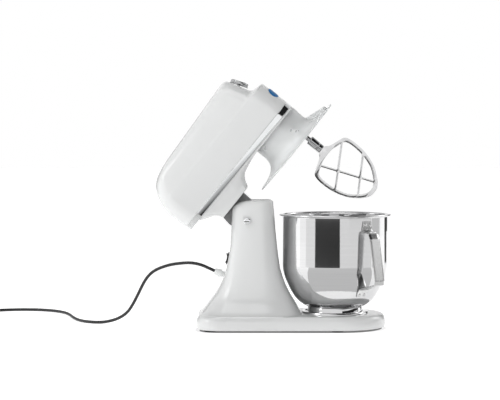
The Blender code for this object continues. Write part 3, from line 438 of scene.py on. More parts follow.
def wider(inset, z):
    a, b = base_outline(inset), rounded(*COLUMN[0][1:4], COLUMN[0][4], COLUMN[0][4], 12)
    out = []
    for t in ANGLES:
        p, q = ray(a, CENTRE, t), ray(b, CENTRE, t)
        m = p if math.dist(p, CENTRE) > math.dist(q, CENTRE) + 0.01 else ray(b, CENTRE, t)
        out.append((*m, z))
    return out


loops = [at_angles(base_outline(9.5), 7.2), at_angles(base_outline(9.5), 4.2), at_angles(base_outline(3.0), 4.0), at_angles(base_outline(1.4), 4.7), at_angles(base_outline(0.5), 6.6), at_angles(base_outline(0.0), 11.0), at_angles(base_outline(0.1), 17.0),
         wider(0.7, 21.5), wider(1.6, 24.6), wider(2.9, 27.4), wider(4.5, 29.6), wider(6.6, 31.0), wider(9.2, 31.8),
         wider(11.0, 32.0)]
for z, xa, xb, hy, cr in COLUMN:
    loops.append(at_angles(rounded(xa, xb, hy, cr, cr, 12), z))
c_slot = cutter(box_geo(-90, 41.5, -27.5, 27.5, 200.0, 290.0))
ALONG_Y = Matrix.Translation((PIVOT_X, 0, PIVOT_Z)) @ Matrix.Rotation(-RAD(90), 4, "X")
c_pin = cutter(turned([(0, -80), (6.4, -80), (6.4, 80), (0, 80)], 48), ALONG_Y)
c_switch = cutter(box_geo(-60, -30, -8.2, 8.2, 130.8, 155.2))
GLAND = Matrix.Translation((-57.0, 0.0, 111.2)) @ Matrix.Rotation(-RAD(70), 4, "Y")
c_gland = cutter(turned([(0, -30), (6.4, -30), (6.4, 14), (0, 14)], 32), GLAND)
make("stand_casting", loft(loops), "paint", "stand", ("base_casting",), cuts=(c_slot, c_pin, c_switch, c_gland), bevel=1.3, bevel_angle=50, smooth=40)
NODES["bottom_plate"].data.materials[0] = M["grey"]
for tag, x, y in (("rear_left", -80.0, 66.0), ("rear_right", -80.0, -66.0), ("front_left", 176.0, 72.0), ("front_right", 176.0, -72.0)):
    make("pad_" + tag, turned(fillet([(0, 0.4), (5.0, 0.4), (6.0, 0.0), (11.4, 0), (12.7, 1.4), (13.0, 4.3), (0, 4.3)], 0.7), 64, (x, y)), "rubber", "stand", ("foot_" + tag,))

# hinge, caps, bracket
make("pin_shaft", turned(fillet([(0, -57.4), (5.9, -57.4), (5.9, 57.4), (0, 57.4)], 0.8), 48), "chrome", "stand", ("hinge_pin",), ALONG_Y)


def lozenge(g, n=12):
    pts = []
    for cx, a0 in ((-5.6 + 1.6, -90), (-5.6 - 1.6, 90)):
        for i in range(n + 1):
            a = RAD(a0 + 180.0 * i / n)
            pts.append((cx + (6.4 + g) * math.cos(a), (6.4 + g) * math.sin(a)))
    return pts


for tag, s in (("left", 1), ("right", -1)):
    lp = [[(x, s * y, 222.0 + z) for x, z in lozenge(g)] for y, g in ((57.6, 0.2), (58.6, 0.2), (60.4, 0.1), (61.4, -0.2), (62.2, -0.7), (62.7, -1.5), (63.0, -2.8))]
    make("cap_" + tag, loft(lp), "chrome", "stand", ("pin_cap_" + tag,), smooth=30)
poly = [(38.4, 41.6), (-26.6, 41.6), (-29.3, 24.0), (-28.0, 14.0)]
poly += [(15.0 * math.cos(RAD(a)), 15.0 * math.sin(RAD(a))) for a in range(190, 345, 6)]
poly += [(30.0, 9.5), (35.6, 15.4), (37.4, 18.8)]
v, f = plate([poly, list(reversed(circle(6.3, 40)))], -26.5, 26.5)
make("tilt_bracket", ([(p[0], -p[2], p[1]) for p in v], f), "bracket", "head", ("hinge_bracket",), HEAD, smooth=30, bevel=1.0, bevel_angle=40)

# switch and gland
SWM = Matrix.Translation((-44.9, 0, 143.0)) @ Matrix.Rotation(-RAD(78.5), 4, "Y")
ring = rounded(-12.5, 12.5, 10.5, 2.5, 2.5, 5)
make("switch_frame", plate([ring, list(reversed(rounded(-10.5, 10.5, 6.6, 0.8, 0.8, 3)))], 0.0, 2.2), "switch", "stand", ("switch_bezel",), SWM, smooth=30, bevel=0.5)
rk = [(-9.8, -1.0), (-9.8, 2.0), (-9.6, 4.2), (-9.2, 4.45), (-7.0, 3.85), (-4.0, 3.2), (-1.5, 2.95), (0.5, 2.92), (3.0, 3.15), (6.0, 4.0), (9.1, 5.55), (9.6, 5.45), (9.8, 5.0), (9.8, -1.0), (3.0, -5.5), (-3.0, -5.5)]
make("rocker_key", loft([[(x, y, z) for x, z in rk] for y in (-6.1, 6.1)]), "switch", "rocker", ("switch_rocker",), SWM, smooth=25, bevel=0.35, bevel_angle=50)
prof = [(3.6, -23.5), (5.9, -23.5), (5.9, 2.6), (8.6, 2.6), (8.6, 4.4)]
for i in range(4):
    z = 4.6 + 2.3 * i
    r = 8.2 - 0.45 * i
    prof += [(r, z), (r, z + 1.5), (r - 0.9, z + 1.7), (r - 0.9, z + 2.1)]
prof += [(6.2, 14.2), (5.4, 16.5), (3.6, 16.5)]
make("strain_relief", turned(prof, 56), "grey", "stand", ("cord_gland",), GLAND, smooth=30)

# bowl seat, bowl foot
SEG = 180


def ringloop(fn, z):
    return [(BOWL_X + fn(k / 3.0) * math.cos(2 * math.pi * k / SEG), fn(k / 3.0) * math.sin(2 * math.pi * k / SEG), z) for k in range(SEG)]


def lip(k):
    return 61.5 if ((k - 3) % 20) < 8 else 57.4


def lugs(k):
    return 61.0 if ((k - 13) % 20) < 6 else 56.5


make("seat_ring", loft([ringloop(lambda k: 68.4, 32.1), ringloop(lambda k: 68.2, 33.4), ringloop(lambda k: 67.8, 34.9), ringloop(lambda k: 67.1, 35.8), ringloop(lambda k: 66.0, 36.25), ringloop(lip, 36.3), ringloop(lip, 34.8),
      ringloop(lambda k: 62.2, 34.8), ringloop(lambda k: 62.2, 32.1)], closed=True), "steel", "stand", ("bowl_seat",), smooth=30)
make("foot_ring", loft([ringloop(lugs, 32.6), ringloop(lugs, 34.3), ringloop(lambda k: 56.4, 34.3), ringloop(lambda k: 56.3, 35.0), ringloop(lambda k: 55.92, 43.8), ringloop(lambda k: 55.7, 44.4),
      ringloop(lambda k: 52.6, 44.4), ringloop(lambda k: 53.6, 32.6)], closed=True), "steel", "bowl_set", ("bowl_foot",), smooth=30)
outer = smooth_profile([(50.0, 44.6), (56.0, 45.2), (61.5, 47.3), (69.0, 52.0), (76.0, 57.6), (82.5, 65.2), (88.0, 73.6), (92.4, 81.6), (96.2, 89.8), (100.4, 99.0), (103.6, 107.6), (106.0, 117.0), (107.2, 124.0), (107.6, 130.0)], 4)
inner = [(max(0.0, r - 1.35), z + 0.55) for r, z in outer]
prof = [(0, 44.6), (30.0, 44.6)] + outer + [(107.6, 131.5), (107.6, 134.0), (107.6, 160.0), (107.6, 200.0), (107.6, 226.5), (107.6, 228.9), (107.6, 229.4)]
prof += smooth_profile([(108.0, 230.7), (109.5, 231.25), (111.6, 231.0), (113.6, 231.1), (114.7, 232.2), (114.75, 233.6), (113.9, 234.7), (112.0, 235.15), (109.8, 235.1), (107.8, 234.4), (106.5, 232.8), (106.2, 230.6)], 3)
prof += [(106.2, 200.0), (106.2, 160.0)] + list(reversed(inner)) + [(30.0, 46.0), (0, 46.0)]
make("bowl_shell", turned(prof, 160, (BOWL_X, 0)), "steel", "bowl_set", ("bowl",), smooth=50)

# handle
HM = Matrix.Translation((BOWL_X, 0, 0)) @ Matrix.Rotation(RAD(-57.0), 4, "Z")
path = fillet([(109.25, 223.5), (109.25, 205.2), (113.6, 202.6), (128.0, 200.0), (133.4, 189.0), (149.9, 106.5), (149.0, 99.0), (99.5, 87.2), (93.9, 80.0), (87.6, 69.6)], 9.0, 7)
loops = []
n = len(path)
for i, (r, z) in enumerate(path):
    a, b = path[max(0, i - 1)], path[min(n - 1, i + 1)]
    d = Vector((b[0] - a[0], b[1] - a[1])).normalized()
    nx, nz = -d.y, d.x
    h = 12.0
    if i == 0 or i == n - 1:
        h = 9.5
    t = 1.1
    sec = []
    for w, s in ((-h, 0.55), (-h + 0.6, 1.0), (-h * 0.5, 1.0), (0, 1.0), (h * 0.5, 1.0), (h - 0.6, 1.0), (h, 0.55), (h, -0.55), (h - 0.6, -1.0), (h * 0.5, -1.0), (0, -1.0), (-h * 0.5, -1.0), (-h + 0.6, -1.0), (-h, -0.55)):
        sec.append((r + nx * t * s, w, z + nz * t * s))
    loops.append(sec)
make("strap_handle", loft(loops), "satin", "bowl_set", ("bowl_handle",), HM, smooth=40)
for i, y in enumerate((-6.0, 6.0)):
    for nm, mt in (("top", HM @ Matrix.Translation((110.4, y, 216.0)) @ Matrix.Rotation(RAD(90), 4, "Y")), ("low", HM @ Matrix.Translation((92.1, y, 75.2)) @ Matrix.Rotation(RAD(121), 4, "Y"))):
        make("rivet_%s_%d" % (nm, i + 1), turned([(0, 0), (3.45, 0.0), (3.4, 0.5), (3.05, 1.05), (2.4, 1.5), (1.4, 1.85), (0.6, 1.97), (0, 2.0)], 32),
             "satin", "bowl_set", ("handle_rivet_%s_%d" % (nm, i + 1),), mt, smooth=50)

# ------------------------------------------------------------------ head
LEVELS = [
    (-88.5, 89.6, 236.8, 89.6, 66.0, 38, 34), (-88.9, 91.5, 236.9, 91.5, 66.0, 38, 34), (-89.5, 104.0, 236.5, 104.0, 66.0, 38, 34), (-90.0, 119.0, 236.0, 119.0, 66.0, 38, 34), (-89.2, 134.0, 235.7, 134.0, 65.8, 38, 34),
    (-87.2, 145.0, 235.4, 144.8, 65.4, 38, 34), (-86.0, 149.6, 235.1, 149.6, 65.1, 38, 34), (-85.0, 152.2, 233.8, 152.0, 64.7, 37, 34), (-84.2, 154.4, 230.2, 153.5, 64.2, 36, 34), (-83.4, 156.6, 221.5, 155.6, 63.4, 34, 34),
    (-82.4, 159.0, 212.4, 158.4, 62.7, 32, 33), (-81.2, 162.4, 208.8, 162.0, 62.0, 31, 33), (-79.4, 166.6, 206.6, 166.2, 61.0, 30, 33), (-74.8, 175.0, 203.9, 175.2, 58.5, 29, 32),
    (-68.0, 183.5, 201.2, 184.0, 55.4, 28, 30), (-61.5, 189.9, 198.7, 193.2, 51.8, 27, 28), (-54.0, 194.7, 196.3, 201.8, 47.6, 26, 27), (-45.0, 198.6, 194.7, 207.4, 42.8, 25, 25), (-35.5, 201.3, 192.8, 211.2, 37.6, 24, 24),
    (-24.0, 203.4, 190.0, 214.0, 31.0, 22, 22), (-13.0, 204.7, 186.2, 215.7, 24.0, 18, 18), (0.0, 205.5, 181.0, 216.5, 16.0, 13, 13), (14.0, 206.2, 172.0, 216.4, 8.0, 6, 6), (30.0, 206.9, 150.0, 214.6, 2.5, 2, 2),
]


def level(lv, g, k=14):
    ua, na, ub, nb, hw, rf, rb = lv
    ua, ub, hw = ua + g, ub - g, hw - g
    pts = rounded(ua, ub, hw, max(1.5, rf - g), max(1.5, rb - g), k)
    # points along the long sides and ends, so that the skin is not a few long strips
    out = []
    for i, p in enumerate(pts):
        out.append(p)
        q = pts[(i + 1) % len(pts)]
        if (i + 1) % (k + 1) == 0:
            m = 8 if abs(q[0] - p[0]) > abs(q[1] - p[1]) else 4
            for j in range(1, m):
                out.append((p[0] + (q[0] - p[0]) * j / m, p[1] + (q[1] - p[1]) * j / m))
    return [(x, y, na + (nb - na) * (x - ua) / (ub - ua)) for x, y in out]


def dense(levels, per):
    out = []
    m = len(levels)
    for i in range(m - 1):
        for k in range(per):
            t = k / per
            row = []
            for j in range(7):
                p0, p1, p2, p3 = (levels[max(0, min(m - 1, i + d))][j] for d in (-1, 0, 1, 2))
                row.append(0.5 * ((2 * p1) + (p2 - p0) * t + (2 * p0 - 5 * p1 + 4 * p2 - p3) * t * t + (3 * p1 - p0 - 3 * p2 + p3) * t ** 3))
            out.append(tuple(row))
    out.append(levels[-1])
    return out


DL = dense(LEVELS, 3)
ol = [level(lv, 0.0) for lv in DL]
il = []
for i, lv in enumerate(LEVELS[:-3]):
    if i in (1, 6, 7, 8, 9):
        continue
    ua, na, ub, nb, hw, rf, rb = lv
    d = 0.0 if i == 0 else (1.2 if i < 6 else 3.0)
    il.append(level((ua, na - d, ub, nb - d, hw, rf, rb), 2.8 if i < 14 else 4.2))
sv = [p for lp in ol for p in lp]
n = len(ol[0])
sf = []
for a in range(len(ol) - 1):
    for k in range(n):
        sf.append((a * n + k, a * n + (k + 1) % n, (a + 1) * n + (k + 1) % n, (a + 1) * n + k))
sf.append(tuple(range((len(ol) - 1) * n, len(ol) * n)))
off = len(sv)
sv += [p for lp in il for p in lp]
for a in range(len(il) - 1):
    for k in range(n):
        sf.append((off + a * n + k, off + a * n + (k + 1) % n, off + (a + 1) * n + (k + 1) % n, off + (a + 1) * n + k))
sf.append(tuple(off + i for i in range((len(il) - 1) * n, len(il) * n)))
for k in range(n):
    sf.append((k, (k + 1) % n, off + (k + 1) % n, off + k))
KNOB = HEAD @ Matrix.Translation((200.2, 0, 186.4)) @ Matrix.Rotation(RAD(69.5), 4, "Y")
c_knob = cutter(turned([(0, -14), (3.9, -14), (3.9, 10), (0, 10)], 24), KNOB)
make("head_cover", (sv, sf), "paint", "head", ("head_shell",), HEAD, smooth=42, cuts=(c_knob,))

# trim band: a convex strip round the plan outline, open at the back
def outline_run(loop, keep, ends):
    m = len(loop)
    start = next(i for i in range(m) if keep(loop[i]) and not keep(loop[i - 1]))
    run, i = [], start
    while keep(loop[i % m]) and len(run) < m:
        run.append(loop[i % m])
        i += 1
    before, after = loop[start - 1], loop[i % m]
    def toward(a, b):
        t = (ends - a[0]) / (b[0] - a[0])
        return (ends, a[1] + t * (b[1] - a[1]))
    return [toward(run[0], before)] + run + [toward(run[-1], after)]


def strip(run, section):
    loops = []
    m = len(run)
    for i, p in enumerate(run):
        a, b = run[max(0, i - 1)], run[min(m - 1, i + 1)]
        d = Vector((b[0] - a[0], b[1] - a[1])).normalized()
        nx, ny = d.y, -d.x
        if nx * (p[0] - 75.0) + ny * p[1] < 0:
            nx, ny = -nx, -ny
        loops.append([(p[0] + nx * o, p[1] + ny * o, h) for o, h in section])
    return loft(loops)


def with_sides(pts, k):
    out = []
    for i, p in enumerate(pts):
        out.append(p)
        q = pts[(i + 1) % len(pts)]
        if (i + 1) % (k + 1) == 0:
            for j in range(1, 10):
                out.append((p[0] + (q[0] - p[0]) * j / 10, p[1] + (q[1] - p[1]) * j / 10))
    return out


run = outline_run(with_sides(rounded(-89.3, 237.8, 66.8, 38.5, 34.5, 16), 16), lambda p: p[0] > -48, -50.0)
sec = [(-3.6, 77.6), (-0.9, 77.6), (-0.45, 77.7), (-0.12, 77.95), (0.0, 78.35), (0.02, 79.2), (0.04, 83.4), (0.02, 87.6), (0.0, 88.45), (-0.12, 88.85), (-0.45, 89.1), (-0.9, 89.2), (-3.6, 89.2)]
make("chrome_band", strip(run, sec), "chrome", "head", ("trim_band",), HEAD, smooth=30)
run = outline_run(with_sides(rounded(-87.4, 237.8, 64.6, 38.5, 33.0, 16), 16), lambda p: p[0] < -52, -51.0)
vent_sec = [(-3.0, 77.6), (0.0, 77.6)]
h = 77.6
for i in range(4):
    z0 = 78.6 + 2.75 * i
    vent_sec += [(0.0, z0), (-1.5, z0 + 0.25), (-1.5, z0 + 1.25), (0.0, z0 + 1.5)]
vent_sec += [(0.0, 89.2), (-3.0, 89.2)]
make("vent_louvres", strip(run, vent_sec), "paint", "head", ("rear_vent",), HEAD, smooth=25)

# lower housing
HC = (12.0, 0.0)
lo0 = with_sides(rounded(-60.0, 236.6, 65.4, 38, 26, 14), 14)
LA = [math.atan2(y, x - HC[0]) for x, y in lo0]
FOOT = [(73.45, -57.0, 124.0, 63.0, 24), (72.6, -56.3, 114.0, 62.4, 23), (70.5, -53.5, 98.0, 61.5, 22), (68.0, -49.6, 84.0, 60.4, 21), (66.0, -46.0, 76.0, 59.5, 20), (63.0, -41.0, 69.6, 58.4, 19), (60.0, -37.0, 65.5, 57.5, 18),
        (57.0, -33.9, 62.6, 56.5, 17), (54.0, -31.5, 60.2, 55.5, 17), (50.0, -29.4, 58.0, 54.6, 16), (47.0, -28.2, 56.6, 54.0, 16), (44.0, -27.4, 55.0, 53.4, 15), (42.8, -27.0, 54.0, 52.8, 15), (42.2, -26.0, 52.6, 51.8, 14)]


def lo(a, b, hy, rf, rb, z):
    return at_angles(rounded(a, b, hy, rf, rb, 14), z, HC, LA)


loops = [lo(-60.0, 236.6, 65.4, 38, 26, 77.3), lo(-60.0, 236.6, 65.4, 38, 26, 76.2), lo(-59.6, 236.2, 65.0, 38, 26, 75.0), lo(-58.9, 235.5, 64.3, 37, 26, 74.0), lo(-57.8, 234.4, 63.3, 36, 25, 73.5)]
for z, xa, xb, hy, cr in FOOT:
    loops.append(lo(xa, xb, hy, cr, cr, z))
c_hub = cutter(turned([(0, 60), (52.6, 60), (52.6, 90), (0, 90)], 96, (HUB_U, 0)), HEAD)
make("under_housing", loft(loops), "paint", "head", ("lower_housing",), HEAD, smooth=40, cuts=(c_hub,))

# badge on the nose corner
def on_nose(a, b, h):
    t = a / 38.0 - RAD(19)
    return (198.0 + (38.0 + h) * math.cos(t), -28.0 + (38.0 + h) * math.sin(t), 122.0 + b)


v, f = turned([(0, 0.12), (3.1, 0.12), (6.2, 0.12), (9.3, 0.12), (12.3, 0.12), (12.4, 0.6), (12.0, 0.95), (11.2, 1.05), (8.4, 1.15), (4.2, 1.2), (0, 1.2)], 64)
make("plain_badge", ([on_nose(*p) for p in v], f), "blue", "head", ("badge",), HEAD, smooth=40)

# knob
def knurl(seg=120):
    prof = [(0, -12.0), (3.2, -12.0), (3.2, 2.2), (19.0, 2.2), (19.5, 2.6), (19.6, 3.4), (19.3, 3.9), (18.7, 4.2), (18.6, 4.8), (18.5, 9.0), (18.2, 9.9), (17.6, 10.6), (16.6, 11.0), (15.2, 11.15), (14.2, 11.0), (13.4, 10.6), (8.0, 10.5), (0, 10.6)]
    v, f = turned(prof, seg)
    out = []
    for x, y, z in v:
        r = math.hypot(x, y)
        if 18.3 < r < 18.9 and 4.5 < z < 9.5:
            a = math.atan2(y, x)
            k = 1.0 - 0.014 * (0.5 + 0.5 * math.cos(a * 30))
            x, y = x * k, y * k
        out.append((x, y, z))
    return out, f


make("dial", knurl(), "knob", "knob", ("speed_knob",), KNOB, smooth=35)
make("dial_mark", loft([[(x, y, z) for x, y in rounded(8.2, 13.0, 0.75, 0.6, 0.6, 3)] for z in (10.3, 11.9)]), "dark", "knob", ("knob_pointer",), KNOB)

# planet carrier underside and agitator
make("hub_disc", turned([(0, 61.0), (14.0, 61.0), (15.0, 61.8), (44.0, 61.8), (45.0, 61.0), (48.0, 61.0), (49.6, 61.7), (50.6, 63.5), (50.6, 77.0), (13.0, 77.0), (8.0, 79.0), (8.0, 116.5), (0, 116.5)], 96, (HUB_U, 0)),
     "alu", "carrier", ("planet_carrier",), HEAD, cuts=(cutter(turned([(0, 50), (5.4, 50), (5.4, 84), (0, 84)], 40, (AU, 0)), HEAD),))
CP = HEAD @ Matrix.Translation((AU, 0, 8.0)) @ Matrix.Rotation(RAD(90), 4, "X")
make("drive_shaft", turned(fillet([(0, -20.0), (4.4, -20.0), (5.0, -18.6), (5.0, 5.0), (5.0, 34.6), (6.6, 35.0), (6.6, 37.0), (5.0, 37.4), (5.0, 92.0), (0, 92.0)], 0.3, 2), 48, (AU, 0)), "knob", "agitator", ("agitator_shaft",), HEAD,
     cuts=(cutter(turned([(0, -12), (2.0, -12), (2.0, 12), (0, 12)], 24), CP),))
make("cross_pin", turned(fillet([(0, -10), (1.8, -10), (1.8, 10), (0, 10)], 0.5), 24), "gear", "agitator", ("drive_pin",), CP)
make("collar", turned(fillet([(0, -27.0), (8.0, -27.0), (9.2, -25.8), (9.2, -19.0), (8.7, -18.4), (8.7, -17.0), (9.3, -16.4), (9.6, -5.0), (9.6, 2.0), (8.8, 4.6), (5.4, 4.6), (5.4, -21.5), (0, -21.5)], 0.5, 3), 64, (AU, 0)),
     "knob", "agitator", ("beater_collar",), HEAD, smooth=40)
pts = []
for i in range(int(4.0 * 28) + 1):
    a = 2 * math.pi * i / 28
    pts.append((AU + 7.6 * math.cos(a), 7.6 * math.sin(a), 12.6 + 20.8 * i / (4.0 * 28)))
make("return_spring", tube_mesh(pts, 1.0, 12), "gear", "agitator", ("beater_spring",), HEAD, smooth=60)

K = 1.86
OUT = [(0.0, -0.1), (-4.2, 0.0), (-6.5, 1.6), (-9, 4.0), (-15.0, 6.6), (-22, 9.0), (-25.6, 10.8), (-27.7, 14.0), (-28.7, 19.0), (-29.0, 24.0), (-28.9, 30.0), (-28.4, 36.0), (-27.0, 43.0), (-25.2, 49.0), (-22.6, 55.4), (-17.6, 63.4), (-11.4, 70.4), (-5.4, 74.3), (0.0, 75.2)]
outline = [(p * K, s * K) for p, s in smooth_profile(OUT, 4)]
outline = outline + [(-p, s) for p, s in reversed(outline[1:-1])]
INN = [(0.0, 8.4), (-7.5, 8.8), (-14.0, 10.9), (-19.5, 12.9), (-22.6, 14.6), (-24.2, 18.5), (-24.8, 24.0), (-24.7, 30.0), (-24.2, 36.0), (-22.9, 42.5), (-21.1, 48.4), (-18.8, 54.0), (-13.9, 61.0), (-8.6, 66.4), (-4.0, 69.5), (0.0, 70.2)]
inn = [(p * K, s * K) for p, s in smooth_profile(INN, 4)]
inn = inn + [(-p, s) for p, s in reversed(inn[1:-1])]


def clip(poly, a, b, side, gap):
    dx, dy = b[0] - a[0], b[1] - a[1]
    d = math.hypot(dx, dy)
    nx, ny = -dy / d * side, dx / d * side
    def dist(p):
        return (p[0] - a[0]) * nx + (p[1] - a[1]) * ny - gap
    out = []
    for i in range(len(poly)):
        p, q = poly[i], poly[(i + 1) % len(poly)]
        dp, dq = dist(p), dist(q)
        if dp >= 0:
            out.append(p)
        if dp * dq < 0:
            t = dp / (dp - dq)
            out.append((p[0] + t * (q[0] - p[0]), p[1] + t * (q[1] - p[1])))
    return out


def round_poly(poly, r):
    """Rounds sharp corners of a closed polygon."""
    out = []
    m = len(poly)
    for i in range(m):
        p, a, b = Vector(poly[i]), Vector(poly[i - 1]), Vector(poly[(i + 1) % m])
        da, db = a - p, b - p
        if da.length < 1e-6 or db.length < 1e-6:
            continue
        ang = da.angle(db)
        if ang > RAD(150):
            out.append(tuple(p))
            continue
        t = min(r, da.length * 0.6, db.length * 0.6)
        p0, p1 = p + da.normalized() * t, p + db.normalized() * t
        for k in range(5):
            s = k / 4
            out.append(tuple(p0 * (1 - s) ** 2 + p * 2 * s * (1 - s) + p1 * s ** 2))
    return out


def tidy(poly, least):
    out = [poly[0]]
    for p in poly[1:]:
        if math.dist(p, out[-1]) > least:
            out.append(p)
    if math.dist(out[0], out[-1]) <= least:
        out.pop()
    return out


SPINE = ((-15 * K, 8.4 * K), (9.8 * K, 69.3 * K))
RIB1 = ((21 * K, 11.8 * K), (-27 * K, 41 * K))
RIB2 = ((27.8 * K, 36.7 * K), (-15.6 * K, 64 * K))
holes = []
for s_side in (1, -1):
    half = clip(inn, *SPINE, s_side, 2.3)
    for band in (((RIB1, -1),), ((RIB1, 1), (RIB2, -1)), ((RIB2, 1),)):
        q = half
        for ln, side in band:
            q = clip(q, *ln, -side, 2.3)
        if len(q) >= 3:
            area = abs(sum(q[i][0] * q[(i + 1) % len(q)][1] - q[(i + 1) % len(q)][0] * q[i][1] for i in range(len(q)))) / 2
            q = tidy(round_poly(tidy(q, 0.5), 3.0), 0.35)
            if area > 40 and len(q) >= 3:
                holes.append(q)
v, f = plate([outline] + [list(reversed(q)) for q in holes], -4.5, 4.5)
make("beater_blade", ([(AU + p[0], p[2], -27.2 - p[1]) for p in v], f), "cast", "agitator", ("flat_beater",), HEAD, smooth=45, bevel=1.5, bevel_angle=60, segs=4)

# splash guard and chute
po = smooth_profile([(58.0, 73.1), (58.0, 60.0), (58.05, 52.0), (58.8, 44.6), (61.2, 37.6), (65.4, 31.6), (71.4, 26.6), (79.4, 22.6), (88.0, 20.2), (98.0, 18.7), (107.0, 17.9), (111.2, 17.6)], 6)
pi = [(r - 2.3 if r < 60 else (r - 1.7 if r < 72 else (r - 0.8 if r < 90 else r)), z - (0.0 if r < 60 else (1.6 if r < 72 else 2.4))) for r, z in po]
pi = smooth_profile([(111.2, 15.0), (107.0, 15.2), (97.6, 16.1), (87.4, 17.6), (78.2, 20.1), (69.8, 24.4), (63.4, 29.9), (58.9, 36.6), (56.4, 44.0), (55.65, 52.0), (55.6, 60.0), (55.6, 73.1)], 6)
rim = [(112.0, 17.4), (112.3, 16.6), (112.0, 15.3)]
c_chute = None


def chute(g, z0, slant, lift=0.0, k=8):
    pts = rounded(236.0 - g, 279.0 + g, 27.0 + g, 8.0 + g, 5.0 + g, k)
    if slant:
        return [(x, y, 39.0 - (x - 236.0) * 14.0 / 41.0 + lift) for x, y in pts]
    return [(x, y, z0) for x, y in pts]


c_chute = cutter(loft([chute(0.3, 5.0, False), chute(0.3, 60.0, False)]), HEAD)
make("clear_guard", turned(po + rim + pi, 144, (HUB_U, 0)), "clear", "head", ("splash_guard",), HEAD, smooth=50, cuts=(c_chute,))
make("clear_chute", loft([chute(0, 14.6, False), chute(0, 0, True, -0.5), chute(-0.5, 0, True), chute(-1.7, 0, True), chute(-2.2, 0, True, -0.5), chute(-2.2, 14.6, False)], closed=True), "clear", "head", ("pouring_chute",), HEAD, smooth=30)
for o in [o for o in bpy.data.objects if o.name.startswith("cutter")]:
    bpy.data.objects.remove(o, do_unlink=True)


# ------------------------------------------------------------------ studio
def stage_mat(name, colour, emit=0.0, rough=0.9):
    m = bpy.data.materials.new(name)
    m.use_nodes = True
    b = next(n for n in m.node_tree.nodes if n.type == "BSDF_PRINCIPLED")
    b.inputs["Base Color"].default_value = (*colour, 1)
    b.inputs["Roughness"].default_value = rough
    if emit:
        b.inputs["Emission Color"].default_value = (1, 1, 1, 1)
        b.inputs["Emission Strength"].default_value = emit
    return m


def card(name, corners, mat, seen=False):
    me = bpy.data.meshes.new(name)
    faces = [tuple(range(4 * k, 4 * k + 4)) for k in range(len(corners) // 4)]
    me.from_pydata(corners, [], faces)
    me.materials.append(mat)
    ob = bpy.data.objects.new(name, me)
    # the tone cards only show in the polished metal; the floor alone is seen and catches shadows
    ob.visible_camera = ob.visible_diffuse = ob.visible_shadow = ob.visible_transmission = seen
    bpy.context.scene.collection.objects.link(ob)
    return ob


def polar(a, r, z):
    return (BX + r * math.sin(RAD(a)), -r * math.cos(RAD(a)), z)


def glow(v):
    return stage_mat("stage_tone_%03d" % round(v * 100), (0.0, 0.0, 0.0), v, 1.0)


def floor_sector(name, a0, a1, r0, r1, v, z=0.003):
    """A patch of floor between two directions and two distances from the bowl, of one brightness."""
    n = max(1, round(abs(a1 - a0) / 8.0))
    pts = []
    for k in range(n):
        b0, b1 = a0 + (a1 - a0) * k / n, a0 + (a1 - a0) * (k + 1) / n
        pts += [polar(b0, r0, z), polar(b1, r0, z), polar(b1, r1, z), polar(b0, r1, z)]
    return card(name, pts, glow(v))


def wall_sector(name, a0, a1, r, z0, z1, v):
    n = max(1, round(abs(a1 - a0) / 8.0))
    pts = []
    for k in range(n):
        b0, b1 = a0 + (a1 - a0) * k / n, a0 + (a1 - a0) * (k + 1) / n
        pts += [polar(b0, r, z0), polar(b1, r, z0), polar(b1, r, z1), polar(b0, r, z1)]
    return card(name, pts, glow(v))


BX = (BOWL_X - X0) / 1000.0
card("floor", [(-14, -12, 0), (14, -12, 0), (14, 22, 0), (-14, 22, 0)], stage_mat("pale_floor", (0.93, 0.93, 0.93), 0.56), seen=True)
# painted shadow on the floor: three flat patches of fixed glow round and under the base outline (a pale ring 5 mm
# outside it, a mid ring at its edge, a dark patch inside it) stand in for the shadow the base casts
for tag, inset, v, z in (("soft", -5.0, 0.93, 0.00012), ("mid", -1.5, 0.84, 0.0002), ("deep", 6.5, 0.16, 0.0003)):
    ring_pts = [tuple(TO_ROW @ Vector((x, y, 0.0))) for x, y in base_outline(inset)]
    me = bpy.data.meshes.new("contact_" + tag)
    me.from_pydata([(x, y, z) for x, y, _ in ring_pts], [], [tuple(range(len(ring_pts)))])
    me.materials.append(glow(v))
    ob = bpy.data.objects.new("contact_" + tag, me)
    bpy.context.scene.collection.objects.link(ob)
floor_sector("front_floor_left", -68, -46, 1.55, 8.0, 0.98)
floor_sector("front_floor_dark", -46, 7.5, 1.55, 5.1, 0.004)
floor_sector("front_floor_far_1", -46, 7.5, 5.1, 5.9, 0.17)
floor_sector("front_floor_far_2", -46, 7.5, 5.9, 7.3, 0.25)
floor_sector("front_floor_far_3", -46, 7.5, 7.3, 9.0, 0.36)
wall_sector("front_wall_1", -46, 7.5, 9.0, 0.003, 0.13, 0.50)
wall_sector("front_wall_2", -46, 7.5, 9.0, 0.13, 0.30, 0.72)
floor_sector("front_floor_right", 7.5, 82, 1.55, 5.6, 0.93)
floor_sector("near_floor", -60, 80, 1.08, 1.55, 0.82)
floor_sector("close_floor", -60, 80, 0.14, 1.08, 0.70)
wall_sector("right_dark_wall", 28, 128, 5.7, 0.003, 1.05, 0.01)
floor_sector("left_panel_1", -84, -68, 1.2, 2.9, 1.25)
floor_sector("left_panel_2", -106, -84, 1.2, 2.9, 1.45)
wall_sector("left_wall_1", -84, -68, 2.9, 0.003, 1.6, 1.25)
wall_sector("left_wall_2", -106, -84, 2.9, 0.003, 1.6, 1.45)
floor_sector("left_grey_floor", -122, -106, 1.3, 3.2, 0.72)
wall_sector("left_grey_wall", -122, -106, 3.2, 0.003, 1.6, 0.72)
floor_sector("left_dark_floor", -142, -122, 1.75, 3.6, 0.2)
wall_sector("left_dark_wall", -157, -122, 3.6, 0.003, 1.6, 0.16)
floor_sector("right_grey_floor", 84, 108, 1.3, 3.2, 0.72)
wall_sector("right_grey_wall", 84, 108, 3.2, 0.003, 0.30, 0.72)
floor_sector("right_panel", 108, 133, 1.45, 3.2, 1.4)
wall_sector("right_panel_wall", 112, 133, 3.2, 0.003, 0.5, 1.4)
floor_sector("right_rear_floor", 134, 148, 1.8, 3.6, 0.08)
